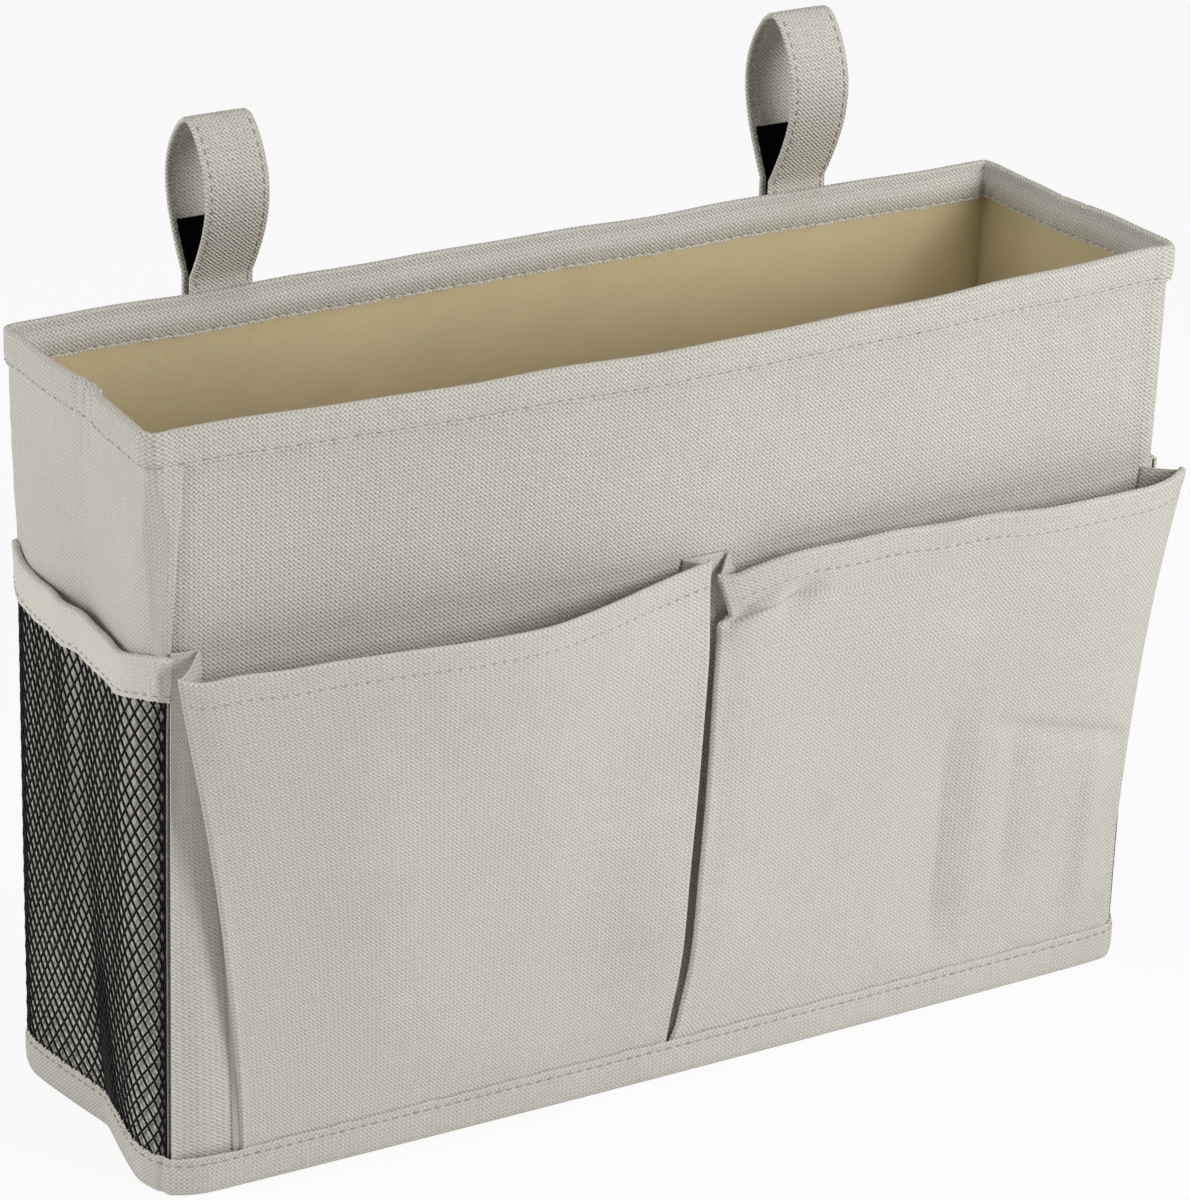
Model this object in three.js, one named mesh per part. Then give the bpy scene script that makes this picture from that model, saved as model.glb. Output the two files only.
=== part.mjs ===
// Bedside caddy: an open fabric box with two bellows pockets in front, a net pocket on each side
// and two hook-and-loop hanging straps behind.
// Millimetres. +X is right, +Y is the back, +Z is up, and the origin is the centre of the base.
import * as THREE from "three";
import { mergeVertices } from "three/addons/utils/BufferGeometryUtils.js";

// Body
const BODY_WIDTH = 330;
const BODY_DEPTH = 95;
const BODY_HEIGHT = 232;
const CORNER_RADIUS = 5;
const CORNER_FLANGE = 8; // how far a side panel wraps onto the front and the back
const SIDE_CREASE = 5.5; // inward fold down the middle of each side
const FRONT_BOW = 5.5; // how far the front rim bellies out at mid-width

// Cloth, lining and stiffener boards
const CLOTH = 0.8;
const LINING = 0.6;
const BOARD = 1.4;
const GAP = 0.3; // clearance between neighbouring layers

// Hem folded over the rim, binding round the base, loose board on the floor
const RIM_HEM_HEIGHT = 12;
const BASE_BINDING_HEIGHT = 12;
const BASE_BINDING_THICKNESS = 2;
const BASE_BOARD_THICKNESS = 2.5;
const BASE_BOARD_CLEARANCE = 1.2;
const BASE_BOARD_CORNER = 6;

// Front bellows pockets
const POCKET_TOP = 167; // height of the pocket mouths above the base
const POCKET_DIVIDER = 4; // where the seam between the pockets stands, right of centre
const POCKET_SPACING = 2; // from that seam to each pocket front
const POCKET_FLARE = 15; // how far the ends of a pocket mouth stand off the front
const LEFT_POCKET_BULGE = 8; // how much further the middle of the mouth stands off
const RIGHT_POCKET_BULGE = 2;
const LEFT_POCKET_FOOT_INSET = 25.5; // from the body's edge to the foot of the outer fold
const RIGHT_POCKET_FOOT_INSET = 5;
const LEFT_POCKET_OVERHANG = 1; // how far the outer fold passes the body's edge at the mouth
const RIGHT_POCKET_OVERHANG = 6;
const POCKET_HEM_HEIGHT = 7;
const POCKET_HEM_INSET = 5; // the hem's ends stop short of the gussets
const OUTER_PLEAT = 9; // depth of the gusset fold at the mouth
const INNER_PLEAT = 6;

// Side net pockets
const NET_POCKET_TOP = 168;
const NET_BINDING_HEIGHT = 13;
const NET_THICKNESS = 0.8;
const NET_STRAND = 1.2;
const NET_COLUMNS = 8;
const NET_ROWS = 9;
const NET_BOW = 6; // how far the pocket mouth stands off the side at mid-depth

// Hanging straps
const STRAP_SPREAD = 194; // between the strap centres
const STRAP_WIDTH = 20;
const STRAP_THICKNESS = 1.6;
const STRAP_RISE = 53.5; // top of the loop above the rim
const STRAP_FOOT = 42; // end of the sewn leaf below the rim
const STRAP_BELLY = 11; // half the loop's opening
const STRAP_JOIN = 4; // where the leaves part, above the rim
const STRAP_SADDLE = 2.5; // flat under the fold, on each side
const FLAP_TAIL = 30; // end of the free leaf below the rim
const PATCH_THICKNESS = 1.2;
const PATCH_MARGIN = 1.5; // from a patch's edge to the strap's edge
const LOOP_PATCH_LENGTH = 24;
const HOOK_PATCH_LENGTH = 46;

// Mesh steps
const ARC_STEPS = 3;
const CREASE_STEPS = 2;
const FRONT_STEPS = 16;
const WALL_ROWS = 6;
const POCKET_COLUMNS = 12;
const POCKET_ROWS = 4;
const BELLY_STEPS = 10;
const CREASE_POWER = 1.3; // above 1 the side curves into its crease
const BELLY_POWER = 1.25; // above 1 the loop is widest in its upper half
const BELLY_FULLNESS = 0.75; // below 1 the leaves part quickly
const BOW_POWER = 1.5; // how slowly the front's bow grows with height
const NET_POWER = 0.7; // how fast the net leaves the side with height

const halfWidth = BODY_WIDTH / 2;
const halfDepth = BODY_DEPTH / 2;
const sideRun = halfDepth - CORNER_RADIUS; // from the crease to where a corner starts
const frontRun = halfWidth - CORNER_RADIUS; // from the centre to where a corner starts
const frontPanelEdge = halfWidth - CORNER_FLANGE - GAP;
const panelTop = BODY_HEIGHT - CLOTH - GAP; // the rim hem closes over it
const sideLiningOuter = -CLOTH - GAP;
const sideLiningInner = sideLiningOuter - LINING;
const boardOuter = -CLOTH - GAP;
const liningOuter = boardOuter - BOARD - GAP;
const liningInner = liningOuter - LINING;
const innerStart = CLOTH + GAP; // boards and linings stand on the bottom panel

const CLOTH_COLOUR = 0xc8c4ba;
const LINING_COLOUR = 0xc9b98d;
const BOARD_COLOUR = 0xd8d6d0;
const NET_COLOUR = 0x1e1c1a;
const PATCH_COLOUR = 0x141414;

const caddy = new THREE.Group();

function addPiece(name, geometry, colour, roughness = 0.9) {
  const material = new THREE.MeshStandardMaterial({ color: colour, roughness, metalness: 0 });
  const mesh = new THREE.Mesh(geometry, material);
  mesh.name = name;
  caddy.add(mesh);
}

// Moves every vertex by a rule and joins the vertices that faces share.
function reshape(geometry, place) {
  const position = geometry.attributes.position;
  for (let i = 0; i < position.count; i += 1) {
    const point = place(position.getX(i), position.getY(i), position.getZ(i));
    position.setXYZ(i, point[0], point[1], point[2]);
  }
  geometry.deleteAttribute("normal");
  geometry.deleteAttribute("uv");
  const merged = mergeVertices(geometry);
  merged.computeVertexNormals();
  return merged;
}

// The plan outline is walked clockwise seen from above: front from right to left, left side from
// front to back, and so on. A station is a point of it with its outward direction.
function station(x, y, nx, ny) {
  return { x, y, nx, ny };
}

function creaseAt(y) {
  return SIDE_CREASE * Math.max(0, 1 - Math.abs(y) / sideRun) ** CREASE_POWER;
}

function cornerArc(centreX, centreY, fromAngle) {
  const stations = [];
  for (let i = 0; i <= ARC_STEPS; i += 1) {
    const angle = fromAngle - (i / ARC_STEPS) * (Math.PI / 2);
    const nx = Math.cos(angle);
    const ny = Math.sin(angle);
    stations.push(station(centreX + CORNER_RADIUS * nx, centreY + CORNER_RADIUS * ny, nx, ny));
  }
  return stations;
}

function creasedRun() {
  const stations = [];
  for (let i = 1 - 2 * CREASE_STEPS; i < 2 * CREASE_STEPS; i += 1) {
    const y = (sideRun * i) / (2 * CREASE_STEPS);
    stations.push(station(-halfWidth + creaseAt(y), y, -1, 0));
  }
  return stations;
}

// The left side with its two corners.
function sideWithCorners() {
  return [
    ...cornerArc(-frontRun, -sideRun, 1.5 * Math.PI),
    ...creasedRun(),
    ...cornerArc(-frontRun, sideRun, Math.PI),
  ];
}

// The same, with the flanges that lap onto the front and the back.
function sideWithFlanges() {
  const end = -halfWidth + CORNER_FLANGE;
  return [station(end, -halfDepth, 0, -1), ...sideWithCorners(), station(end, halfDepth, 0, 1)];
}

function halfTurn(stations) {
  return stations.map((s) => station(-s.x, -s.y, -s.nx, -s.ny));
}

function frontStations(reach) {
  const stations = [];
  for (let i = 0; i <= FRONT_STEPS; i += 1) {
    stations.push(station(reach - (2 * reach * i) / FRONT_STEPS, -halfDepth, 0, -1));
  }
  return stations;
}

// The front bellies out towards its rim and stays straight at the base and the corners.
function frontBow(x, z) {
  const across = Math.max(0, 1 - (x / frontPanelEdge) ** 2);
  const full = panelTop - RIM_HEM_HEIGHT;
  const up = Math.min(1, Math.max(0, z / full)) ** BOW_POWER;
  return FRONT_BOW * across * up;
}

function noBow() {
  return 0;
}

function onStation(s, offset, z, bow) {
  const out = offset + bow(s.x, z);
  return [s.x + s.nx * out, s.y + s.ny * out, z];
}

// A sheet of cloth or board along the outline, between two heights.
function sheet(stations, outer, thickness, bottom, top, bow = noBow, rows = 1) {
  const spans = stations.length - 1;
  const geometry = new THREE.BoxGeometry(spans, thickness, top - bottom, spans, 1, rows);
  return reshape(geometry, (x, y, z) => {
    const s = stations[Math.round(x + spans / 2)];
    return onStation(s, outer - thickness / 2 + y, z + (bottom + top) / 2, bow);
  });
}

// A tape folded over an upper edge, open below.
function foldedTape(stations, outer, inner, wall, bottom, top, bow = noBow) {
  const shape = new THREE.Shape();
  shape.moveTo(inner, bottom);
  shape.lineTo(inner + wall, bottom);
  shape.lineTo(inner + wall, top - wall);
  shape.lineTo(outer - wall, top - wall);
  shape.lineTo(outer - wall, bottom);
  shape.lineTo(outer, bottom);
  shape.lineTo(outer, top);
  shape.lineTo(inner, top);
  const spans = stations.length - 1;
  const geometry = new THREE.ExtrudeGeometry(shape, { depth: spans, steps: spans, bevelEnabled: false });
  return reshape(geometry, (x, y, z) => onStation(stations[Math.round(z)], x, y, bow));
}

// A flat slab with the given plan outline and, for a ring, an inner outline.
function slab(outline, hole, bottom, top) {
  const shape = new THREE.Shape(outline);
  if (hole) {
    shape.holes.push(new THREE.Path(hole));
  }
  const geometry = new THREE.ExtrudeGeometry(shape, { depth: top - bottom, bevelEnabled: false });
  return reshape(geometry, (x, y, z) => [x, y, z + bottom]);
}

// The outline all round, anticlockwise as a shape's outline runs.
function wholeOutline(offset) {
  const left = sideWithCorners();
  const around = [...left, ...halfTurn(left)].reverse();
  return around.map((s) => new THREE.Vector2(s.x + s.nx * offset, s.y + s.ny * offset));
}

// Outer panels
const leftSide = sideWithFlanges();
const leftCorners = sideWithCorners();
const frontPanelRun = frontStations(frontPanelEdge);
const innerRun = frontStations(frontRun - GAP);

addPiece("front_panel", sheet(frontPanelRun, 0, CLOTH, 0, panelTop, frontBow, WALL_ROWS), CLOTH_COLOUR);
addPiece("back_panel", sheet(halfTurn(frontPanelRun), 0, CLOTH, 0, panelTop), CLOTH_COLOUR);
addPiece("left_side_panel", sheet(leftSide, 0, CLOTH, 0, panelTop), CLOTH_COLOUR);
addPiece("right_side_panel", sheet(halfTurn(leftSide), 0, CLOTH, 0, panelTop), CLOTH_COLOUR);
addPiece("bottom_panel", slab(wholeOutline(-CLOTH - GAP), null, 0, CLOTH), CLOTH_COLOUR);

// Stiffener boards and linings
const frontBoard = sheet(innerRun, boardOuter, BOARD, innerStart, panelTop, frontBow, WALL_ROWS);
const frontLining = sheet(innerRun, liningOuter, LINING, innerStart, panelTop, frontBow, WALL_ROWS);
const backRun = halfTurn(innerRun);
const sideLining = sheet(leftCorners, sideLiningOuter, LINING, innerStart, panelTop);
const rightLining = sheet(halfTurn(leftCorners), sideLiningOuter, LINING, innerStart, panelTop);
addPiece("front_stiffener", frontBoard, BOARD_COLOUR, 0.6);
addPiece("back_stiffener", sheet(backRun, boardOuter, BOARD, innerStart, panelTop), BOARD_COLOUR, 0.6);
addPiece("front_lining", frontLining, LINING_COLOUR);
addPiece("back_lining", sheet(backRun, liningOuter, LINING, innerStart, panelTop), LINING_COLOUR);
addPiece("left_side_lining", sideLining, LINING_COLOUR);
addPiece("right_side_lining", rightLining, LINING_COLOUR);

// Rim hem, one folded length on each wall
const hemOuter = GAP + CLOTH;
const hemBottom = BODY_HEIGHT - RIM_HEM_HEIGHT;
const wallHemInner = liningInner - GAP - CLOTH;
const sideHemInner = sideLiningInner - GAP - CLOTH;

function rimHem(stations, inner, bow) {
  return foldedTape(stations, hemOuter, inner, CLOTH, hemBottom, BODY_HEIGHT, bow);
}

addPiece("front_rim_hem", rimHem(innerRun, wallHemInner, frontBow), CLOTH_COLOUR);
addPiece("back_rim_hem", rimHem(backRun, wallHemInner, noBow), CLOTH_COLOUR);
addPiece("left_rim_hem", rimHem(leftCorners, sideHemInner, noBow), CLOTH_COLOUR);
addPiece("right_rim_hem", rimHem(halfTurn(leftCorners), sideHemInner, noBow), CLOTH_COLOUR);

// Base binding and the loose base board
const bindingInner = wholeOutline(GAP);
const bindingOuter = wholeOutline(GAP + BASE_BINDING_THICKNESS);
addPiece("base_binding", slab(bindingOuter, bindingInner, 0, BASE_BINDING_HEIGHT), CLOTH_COLOUR);

function roundedRectangle(halfX, halfY, radius) {
  const shape = new THREE.Shape();
  shape.absarc(halfX - radius, halfY - radius, radius, 0, Math.PI / 2);
  shape.absarc(-halfX + radius, halfY - radius, radius, Math.PI / 2, Math.PI);
  shape.absarc(-halfX + radius, -halfY + radius, radius, Math.PI, 1.5 * Math.PI);
  shape.absarc(halfX - radius, -halfY + radius, radius, 1.5 * Math.PI, 2 * Math.PI);
  return shape.getPoints(ARC_STEPS);
}

const boardHalfX = halfWidth + sideHemInner - SIDE_CREASE - BASE_BOARD_CLEARANCE;
const boardHalfY = halfDepth + wallHemInner - BASE_BOARD_CLEARANCE;
const boardOutline = roundedRectangle(boardHalfX, boardHalfY, BASE_BOARD_CORNER);
const boardTop = innerStart + BASE_BOARD_THICKNESS;
addPiece("base_board", slab(boardOutline, null, innerStart, boardTop), LINING_COLOUR);

// Front bellows pockets. Each front is hinged along its foot, and a pleated gusset closes each end.
const pocketFoot = BASE_BINDING_HEIGHT + GAP;
const pocketInner = GAP + CLOTH + GAP; // the pleats lie flat under the foot
const mix = THREE.MathUtils.lerp;

function pocketEdge(pocket, end, v) {
  return mix(pocket[end].foot, pocket[end].mouth, v);
}

// How far the pocket front stands off the body at a share u across it and v up it.
function pocketOffset(pocket, u, v) {
  return pocketInner + v * (POCKET_FLARE + pocket.bulge * Math.sin(Math.PI * u));
}

function pocketHeight(v) {
  return mix(pocketFoot, POCKET_TOP, v);
}

// A strip of the pocket's front, between two shares of its height, short of its ends by an inset.
function pocketSheet(pocket, inner, fromV, toV, rows, inset) {
  const geometry = new THREE.BoxGeometry(1, CLOTH, 1, POCKET_COLUMNS, 1, rows);
  return reshape(geometry, (x, y, z) => {
    const v = mix(fromV, toV, z + 0.5);
    const right = pocketEdge(pocket, "right", v);
    const left = pocketEdge(pocket, "left", v);
    const insetShare = inset / (right - left);
    const u = mix(insetShare, 1 - insetShare, x + 0.5);
    const out = pocketOffset(pocket, u, v) + inner + CLOTH / 2 + y;
    return [mix(right, left, u), -halfDepth - out, pocketHeight(v)];
  });
}

// Three plan points of a gusset at a share v of its height: its seam, its inner fold and its outer end.
function gussetPlan(pocket, end, seamX, pleat, v) {
  const z = pocketHeight(v);
  const towardsMiddle = end === "left" ? 1 : -1;
  const lift = GAP + CLOTH / 2;
  const seam = new THREE.Vector2(seamX, -halfDepth - lift - frontBow(seamX, z));
  const outerX = pocketEdge(pocket, end, v) + towardsMiddle * CLOTH;
  const u = end === "left" ? 1 : 0;
  const outer = new THREE.Vector2(outerX, -halfDepth - pocketOffset(pocket, u, v) + lift);
  const fold = seam.clone().lerp(outer, 0.5);
  fold.x += towardsMiddle * pleat * v;
  return [seam, fold, outer];
}

function turnedLeft(from, to) {
  const along = to.clone().sub(from).normalize();
  return new THREE.Vector2(-along.y, along.x);
}

// The direction that keeps a bent strip equally thick on both sides of each point.
function mitre(points, i) {
  const before = i > 0 ? turnedLeft(points[i - 1], points[i]) : turnedLeft(points[i], points[i + 1]);
  const isLast = i === points.length - 1;
  const after = isLast ? before : turnedLeft(points[i], points[i + 1]);
  const middle = before.clone().add(after).normalize();
  return middle.divideScalar(middle.dot(before));
}

function gusset(pocket, end, seamX, pleat) {
  const geometry = new THREE.BoxGeometry(2, CLOTH, 1, 2, 1, WALL_ROWS);
  return reshape(geometry, (x, y, z) => {
    const v = z + 0.5;
    const plan = gussetPlan(pocket, end, seamX, pleat, v);
    const i = Math.round(x + 1);
    const point = plan[i].addScaledVector(mitre(plan, i), y);
    return [point.x, point.y, pocketHeight(v)];
  });
}

const leftPocket = {
  left: { foot: -halfWidth + LEFT_POCKET_FOOT_INSET, mouth: -halfWidth - LEFT_POCKET_OVERHANG },
  right: { foot: POCKET_DIVIDER - POCKET_SPACING, mouth: POCKET_DIVIDER - POCKET_SPACING },
  bulge: LEFT_POCKET_BULGE,
};
const rightPocket = {
  left: { foot: POCKET_DIVIDER + POCKET_SPACING, mouth: POCKET_DIVIDER + POCKET_SPACING },
  right: { foot: halfWidth - RIGHT_POCKET_FOOT_INSET, mouth: halfWidth + RIGHT_POCKET_OVERHANG },
  bulge: RIGHT_POCKET_BULGE,
};
const hemShare = POCKET_HEM_HEIGHT / (POCKET_TOP - pocketFoot);
const outerSeam = frontPanelEdge - CLOTH;
const innerSeam = CLOTH / 2 + GAP; // from the divider line to the middle of each inner gusset

function addPocket(side, pocket, outerEnd) {
  const innerEnd = outerEnd === "left" ? "right" : "left";
  const sign = outerEnd === "left" ? -1 : 1;
  const front = pocketSheet(pocket, 0, 0, 1, POCKET_ROWS, 0);
  const hem = pocketSheet(pocket, -GAP - CLOTH, 1 - hemShare, 1, 1, POCKET_HEM_INSET);
  const outerGusset = gusset(pocket, outerEnd, sign * outerSeam, OUTER_PLEAT);
  const innerGusset = gusset(pocket, innerEnd, POCKET_DIVIDER + sign * innerSeam, INNER_PLEAT);
  addPiece(`${side}_pocket_front`, front, CLOTH_COLOUR);
  addPiece(`${side}_pocket_hem`, hem, CLOTH_COLOUR);
  addPiece(`${side}_pocket_outer_gusset`, outerGusset, CLOTH_COLOUR);
  addPiece(`${side}_pocket_inner_gusset`, innerGusset, CLOTH_COLOUR);
}

addPocket("left", leftPocket, "left");
addPocket("right", rightPocket, "right");

// Side net pockets. The net leaves the creased side at its foot and bows out at its mouth, where a
// folded tape binds it.
const netFoot = BASE_BINDING_HEIGHT + GAP;
const netTop = NET_POCKET_TOP - CLOTH - GAP;
const netBindingFoot = NET_POCKET_TOP - NET_BINDING_HEIGHT;

function netOffset(y, z) {
  const rise = Math.min(1, Math.max(0, (z - netFoot) / (netBindingFoot - netFoot))) ** NET_POWER;
  const bow = NET_BOW * Math.max(0, 1 - (y / sideRun) ** 2);
  const atFoot = GAP - creaseAt(y);
  const atMouth = GAP + CLOTH + GAP + bow;
  return mix(atFoot, atMouth, rise);
}

// Diamond cells in staggered rows. Each is a rhombus of strands round a smaller rhombic gap.
function netCells(width, height) {
  const cells = [];
  for (let column = 1; column < 2 * NET_COLUMNS; column += 1) {
    for (let row = 1; row < 2 * NET_ROWS; row += 1) {
      if ((column + row) % 2 === 0) {
        cells.push([column, row]);
      }
    }
  }
  const halfCellS = width / (2 * NET_COLUMNS);
  const halfCellZ = height / (2 * NET_ROWS);
  const strandShare = (NET_STRAND / 2) * Math.hypot(1 / halfCellS, 1 / halfCellZ);
  return { cells, halfCellS, halfCellZ, gapShare: 1 - strandShare };
}

const RHOMBUS = [[0, -1], [1, 0], [0, 1], [-1, 0]];

// Builds the net as one closed body: two faces, the walls of each gap and the zigzag outer edge.
function netGeometry(place) {
  const height = netTop - netFoot;
  const { cells, halfCellS, halfCellZ, gapShare } = netCells(2 * sideRun, height);
  const vertices = [];
  const triangles = [];
  const known = new Map();
  const isCell = new Set(cells.map(([column, row]) => `${column},${row}`));

  function vertex(column, row, depth) {
    const key = `${column.toFixed(4)},${row.toFixed(4)},${depth}`;
    if (!known.has(key)) {
      known.set(key, vertices.length / 3);
      vertices.push(...place(-sideRun + column * halfCellS, netFoot + row * halfCellZ, depth));
    }
    return known.get(key);
  }

  function quad(a, b, c, d) {
    triangles.push(a, c, b, a, d, c);
  }

  for (const [column, row] of cells) {
    for (let i = 0; i < 4; i += 1) {
      const [s0, z0] = RHOMBUS[i];
      const [s1, z1] = RHOMBUS[(i + 1) % 4];
      const corner = (share, s, z, depth) => vertex(column + share * s, row + share * z, depth);
      const outA = [corner(1, s0, z0, 0), corner(1, s0, z0, NET_THICKNESS)];
      const outB = [corner(1, s1, z1, 0), corner(1, s1, z1, NET_THICKNESS)];
      const inA = [corner(gapShare, s0, z0, 0), corner(gapShare, s0, z0, NET_THICKNESS)];
      const inB = [corner(gapShare, s1, z1, 0), corner(gapShare, s1, z1, NET_THICKNESS)];
      quad(outA[0], outB[0], inB[0], inA[0]);
      quad(outA[1], inA[1], inB[1], outB[1]);
      quad(inA[0], inB[0], inB[1], inA[1]);
      if (!isCell.has(`${column + s0 + s1},${row + z0 + z1}`)) {
        quad(outB[0], outA[0], outA[1], outB[1]);
      }
    }
  }
  const geometry = new THREE.BufferGeometry();
  geometry.setAttribute("position", new THREE.Float32BufferAttribute(vertices, 3));
  geometry.setIndex(triangles);
  geometry.computeVertexNormals();
  return geometry;
}

function netBindingRun() {
  const stations = [];
  for (let i = 0; i <= FRONT_STEPS; i += 1) {
    const y = mix(-sideRun, sideRun, i / FRONT_STEPS);
    stations.push(station(-halfWidth - netOffset(y, NET_POCKET_TOP), y, -1, 0));
  }
  return stations;
}

// A depth runs inwards from the net's outer face.
function onSide(sign, y, z, depth) {
  const out = halfWidth + netOffset(y, z) + NET_THICKNESS - depth;
  return [sign * out, -sign * y, z];
}

const tapeOuter = NET_THICKNESS + GAP + CLOTH;
const netTape = (stations) =>
  foldedTape(stations, tapeOuter, -GAP - CLOTH, CLOTH, netBindingFoot, NET_POCKET_TOP);

addPiece("left_net", netGeometry((y, z, depth) => onSide(-1, y, z, depth)), NET_COLOUR, 0.7);
addPiece("right_net", netGeometry((y, z, depth) => onSide(1, y, z, depth)), NET_COLOUR, 0.7);
addPiece("left_net_binding", netTape(netBindingRun()), CLOTH_COLOUR);
addPiece("right_net_binding", netTape(halfTurn(netBindingRun())), CLOTH_COLOUR);

// Hanging straps, drawn as side profiles (Y, Z) and extruded across. The sewn leaf rises from the
// back panel to the fold, and the free leaf hangs from the fold and closes on it.
const strapTop = BODY_HEIGHT + STRAP_RISE;
const strapJoin = BODY_HEIGHT + STRAP_JOIN;
const halfStrap = STRAP_THICKNESS / 2;
const footY = halfDepth + GAP + halfStrap;
const leafY = halfDepth + hemOuter + GAP + halfStrap;
const flapY = leafY + 2 * (halfStrap + GAP + PATCH_THICKNESS) + GAP;
const foldY = (leafY + flapY) / 2;
const foldZ = strapTop - halfStrap;

// The belly of a leaf, from where the leaves part up to the flat under the fold.
function belly(leaf, direction) {
  const points = [];
  const endY = foldY + direction * STRAP_SADDLE;
  for (let i = 0; i <= BELLY_STEPS; i += 1) {
    const f = i / BELLY_STEPS;
    const out = STRAP_BELLY * Math.sin(Math.PI * f ** BELLY_POWER) ** BELLY_FULLNESS;
    points.push(new THREE.Vector2(mix(leaf, endY, f) + direction * out, mix(strapJoin, foldZ, f)));
  }
  points.push(new THREE.Vector2(foldY + direction * (GAP / 2), foldZ));
  return points;
}

// A strip of a profile between two offsets from its line, extruded over a width.
function strip(points, fromOffset, toOffset, width, centreX) {
  const near = points.map((p, i) => p.clone().addScaledVector(mitre(points, i), fromOffset));
  const far = points.map((p, i) => p.clone().addScaledVector(mitre(points, i), toOffset));
  const shape = new THREE.Shape([...near, ...far.reverse()]);
  const geometry = new THREE.ExtrudeGeometry(shape, { depth: width, bevelEnabled: false });
  return reshape(geometry, (x, y, z) => [centreX - width / 2 + z, x, y]);
}

const tuckTop = hemBottom - GAP; // above this the sewn leaf clears the rim hem
const tuckFoot = tuckTop - 4 * STRAP_THICKNESS;
const leafLine = [
  new THREE.Vector2(footY, BODY_HEIGHT - STRAP_FOOT),
  new THREE.Vector2(footY, tuckFoot),
  new THREE.Vector2(leafY, tuckTop),
  ...belly(leafY, -1),
];
const flapLine = [new THREE.Vector2(flapY, BODY_HEIGHT - FLAP_TAIL), ...belly(flapY, 1)];

// The stretch of a profile between two heights, on its way up to the belly.
function between(line, bottom, top) {
  const at = (z) => {
    const i = line.findIndex((p) => p.y >= z);
    const share = (z - line[i - 1].y) / (line[i].y - line[i - 1].y);
    return line[i - 1].clone().lerp(line[i], share);
  };
  const inside = line.slice(0, BELLY_STEPS).filter((p) => p.y > bottom + GAP && p.y < top - GAP);
  return [at(bottom), ...inside, at(top)];
}

const patchWidth = STRAP_WIDTH - 2 * PATCH_MARGIN;
const loopTop = strapJoin;
const loopLine = between(leafLine, loopTop - LOOP_PATCH_LENGTH, loopTop);
const hookFoot = BODY_HEIGHT - FLAP_TAIL + PATCH_MARGIN;
const hookLine = between(flapLine, hookFoot, hookFoot + HOOK_PATCH_LENGTH);
const patchNear = halfStrap + GAP;
const patchFar = patchNear + PATCH_THICKNESS;

for (const [side, sign] of [["left", -1], ["right", 1]]) {
  const x = (sign * STRAP_SPREAD) / 2;
  const sewnLeaf = strip(leafLine, -halfStrap, halfStrap, STRAP_WIDTH, x);
  const freeLeaf = strip(flapLine, -halfStrap, halfStrap, STRAP_WIDTH, x);
  const loopPatch = strip(loopLine, -patchFar, -patchNear, patchWidth, x);
  const hookPatch = strip(hookLine, patchNear, patchFar, patchWidth, x);
  addPiece(`${side}_strap_leaf`, sewnLeaf, CLOTH_COLOUR);
  addPiece(`${side}_strap_flap`, freeLeaf, CLOTH_COLOUR);
  addPiece(`${side}_strap_loop_patch`, loopPatch, PATCH_COLOUR);
  addPiece(`${side}_strap_hook_patch`, hookPatch, PATCH_COLOUR);
}

export default caddy;
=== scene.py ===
"""Looks of the bedside caddy: an open cloth box with two bellows pockets in front, a net pocket on
each side and two hook-and-loop hanging straps behind. Every layer of cloth follows one soft box."""

import math

import bpy
import numpy as np
from bpy.props import FloatProperty, FloatVectorProperty, PointerProperty
from mathutils import Matrix, Vector


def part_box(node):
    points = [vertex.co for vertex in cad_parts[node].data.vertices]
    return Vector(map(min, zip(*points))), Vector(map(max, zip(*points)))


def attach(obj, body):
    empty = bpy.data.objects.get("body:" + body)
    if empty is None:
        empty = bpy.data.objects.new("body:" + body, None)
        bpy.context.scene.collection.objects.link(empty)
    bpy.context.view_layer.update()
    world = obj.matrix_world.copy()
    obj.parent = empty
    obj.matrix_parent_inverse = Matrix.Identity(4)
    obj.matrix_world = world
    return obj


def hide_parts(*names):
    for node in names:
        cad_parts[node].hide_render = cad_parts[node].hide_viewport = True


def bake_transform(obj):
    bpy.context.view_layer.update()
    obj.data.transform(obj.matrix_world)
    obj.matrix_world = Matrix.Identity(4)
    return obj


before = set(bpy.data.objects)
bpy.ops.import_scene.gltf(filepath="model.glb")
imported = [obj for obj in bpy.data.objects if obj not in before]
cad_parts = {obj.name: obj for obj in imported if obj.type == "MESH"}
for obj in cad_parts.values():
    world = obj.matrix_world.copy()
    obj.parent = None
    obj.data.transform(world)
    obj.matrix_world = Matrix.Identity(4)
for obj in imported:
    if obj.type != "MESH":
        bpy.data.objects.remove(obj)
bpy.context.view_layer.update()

bl_info = {
    "name": "Bedside caddy",
    "version": (1, 0, 0),
    "blender": (4, 5, 0),
    "location": "3D View > Sidebar > Caddy",
    "description": "Dresses the caddy's frame in cloth, net, tape and thread",
    "category": "Add Mesh",
}

MM = 0.001
CLOTH_UV = "cloth"
PHOTO_WIDTH = 1190
PHOTO_HEIGHT = 1200
SENSOR = 36.0
SHARP_ANGLE = math.radians(55)
WHITE = (1.0, 1.0, 1.0, 1.0)


def srgb(red, green, blue):
    """A colour given from 0 to 255, as the linear colour that Blender works in."""
    shares = [c / 255 for c in (red, green, blue)]
    return tuple(s / 12.92 if s <= 0.04045 else ((s + 0.055) / 1.055) ** 2.4 for s in shares)


def length(name, description, millimetres):
    """A length that a user may change, given here in millimetres and kept in metres."""
    return FloatProperty(
        name=name, description=description, default=millimetres * MM, min=0.0, unit="LENGTH", precision=5
    )


def colour(name, description, red, green, blue):
    """A colour that a user may change."""
    default = srgb(red, green, blue)
    return FloatVectorProperty(
        name=name, description=description, default=default, subtype="COLOR", min=0.0, max=1.0
    )


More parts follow.
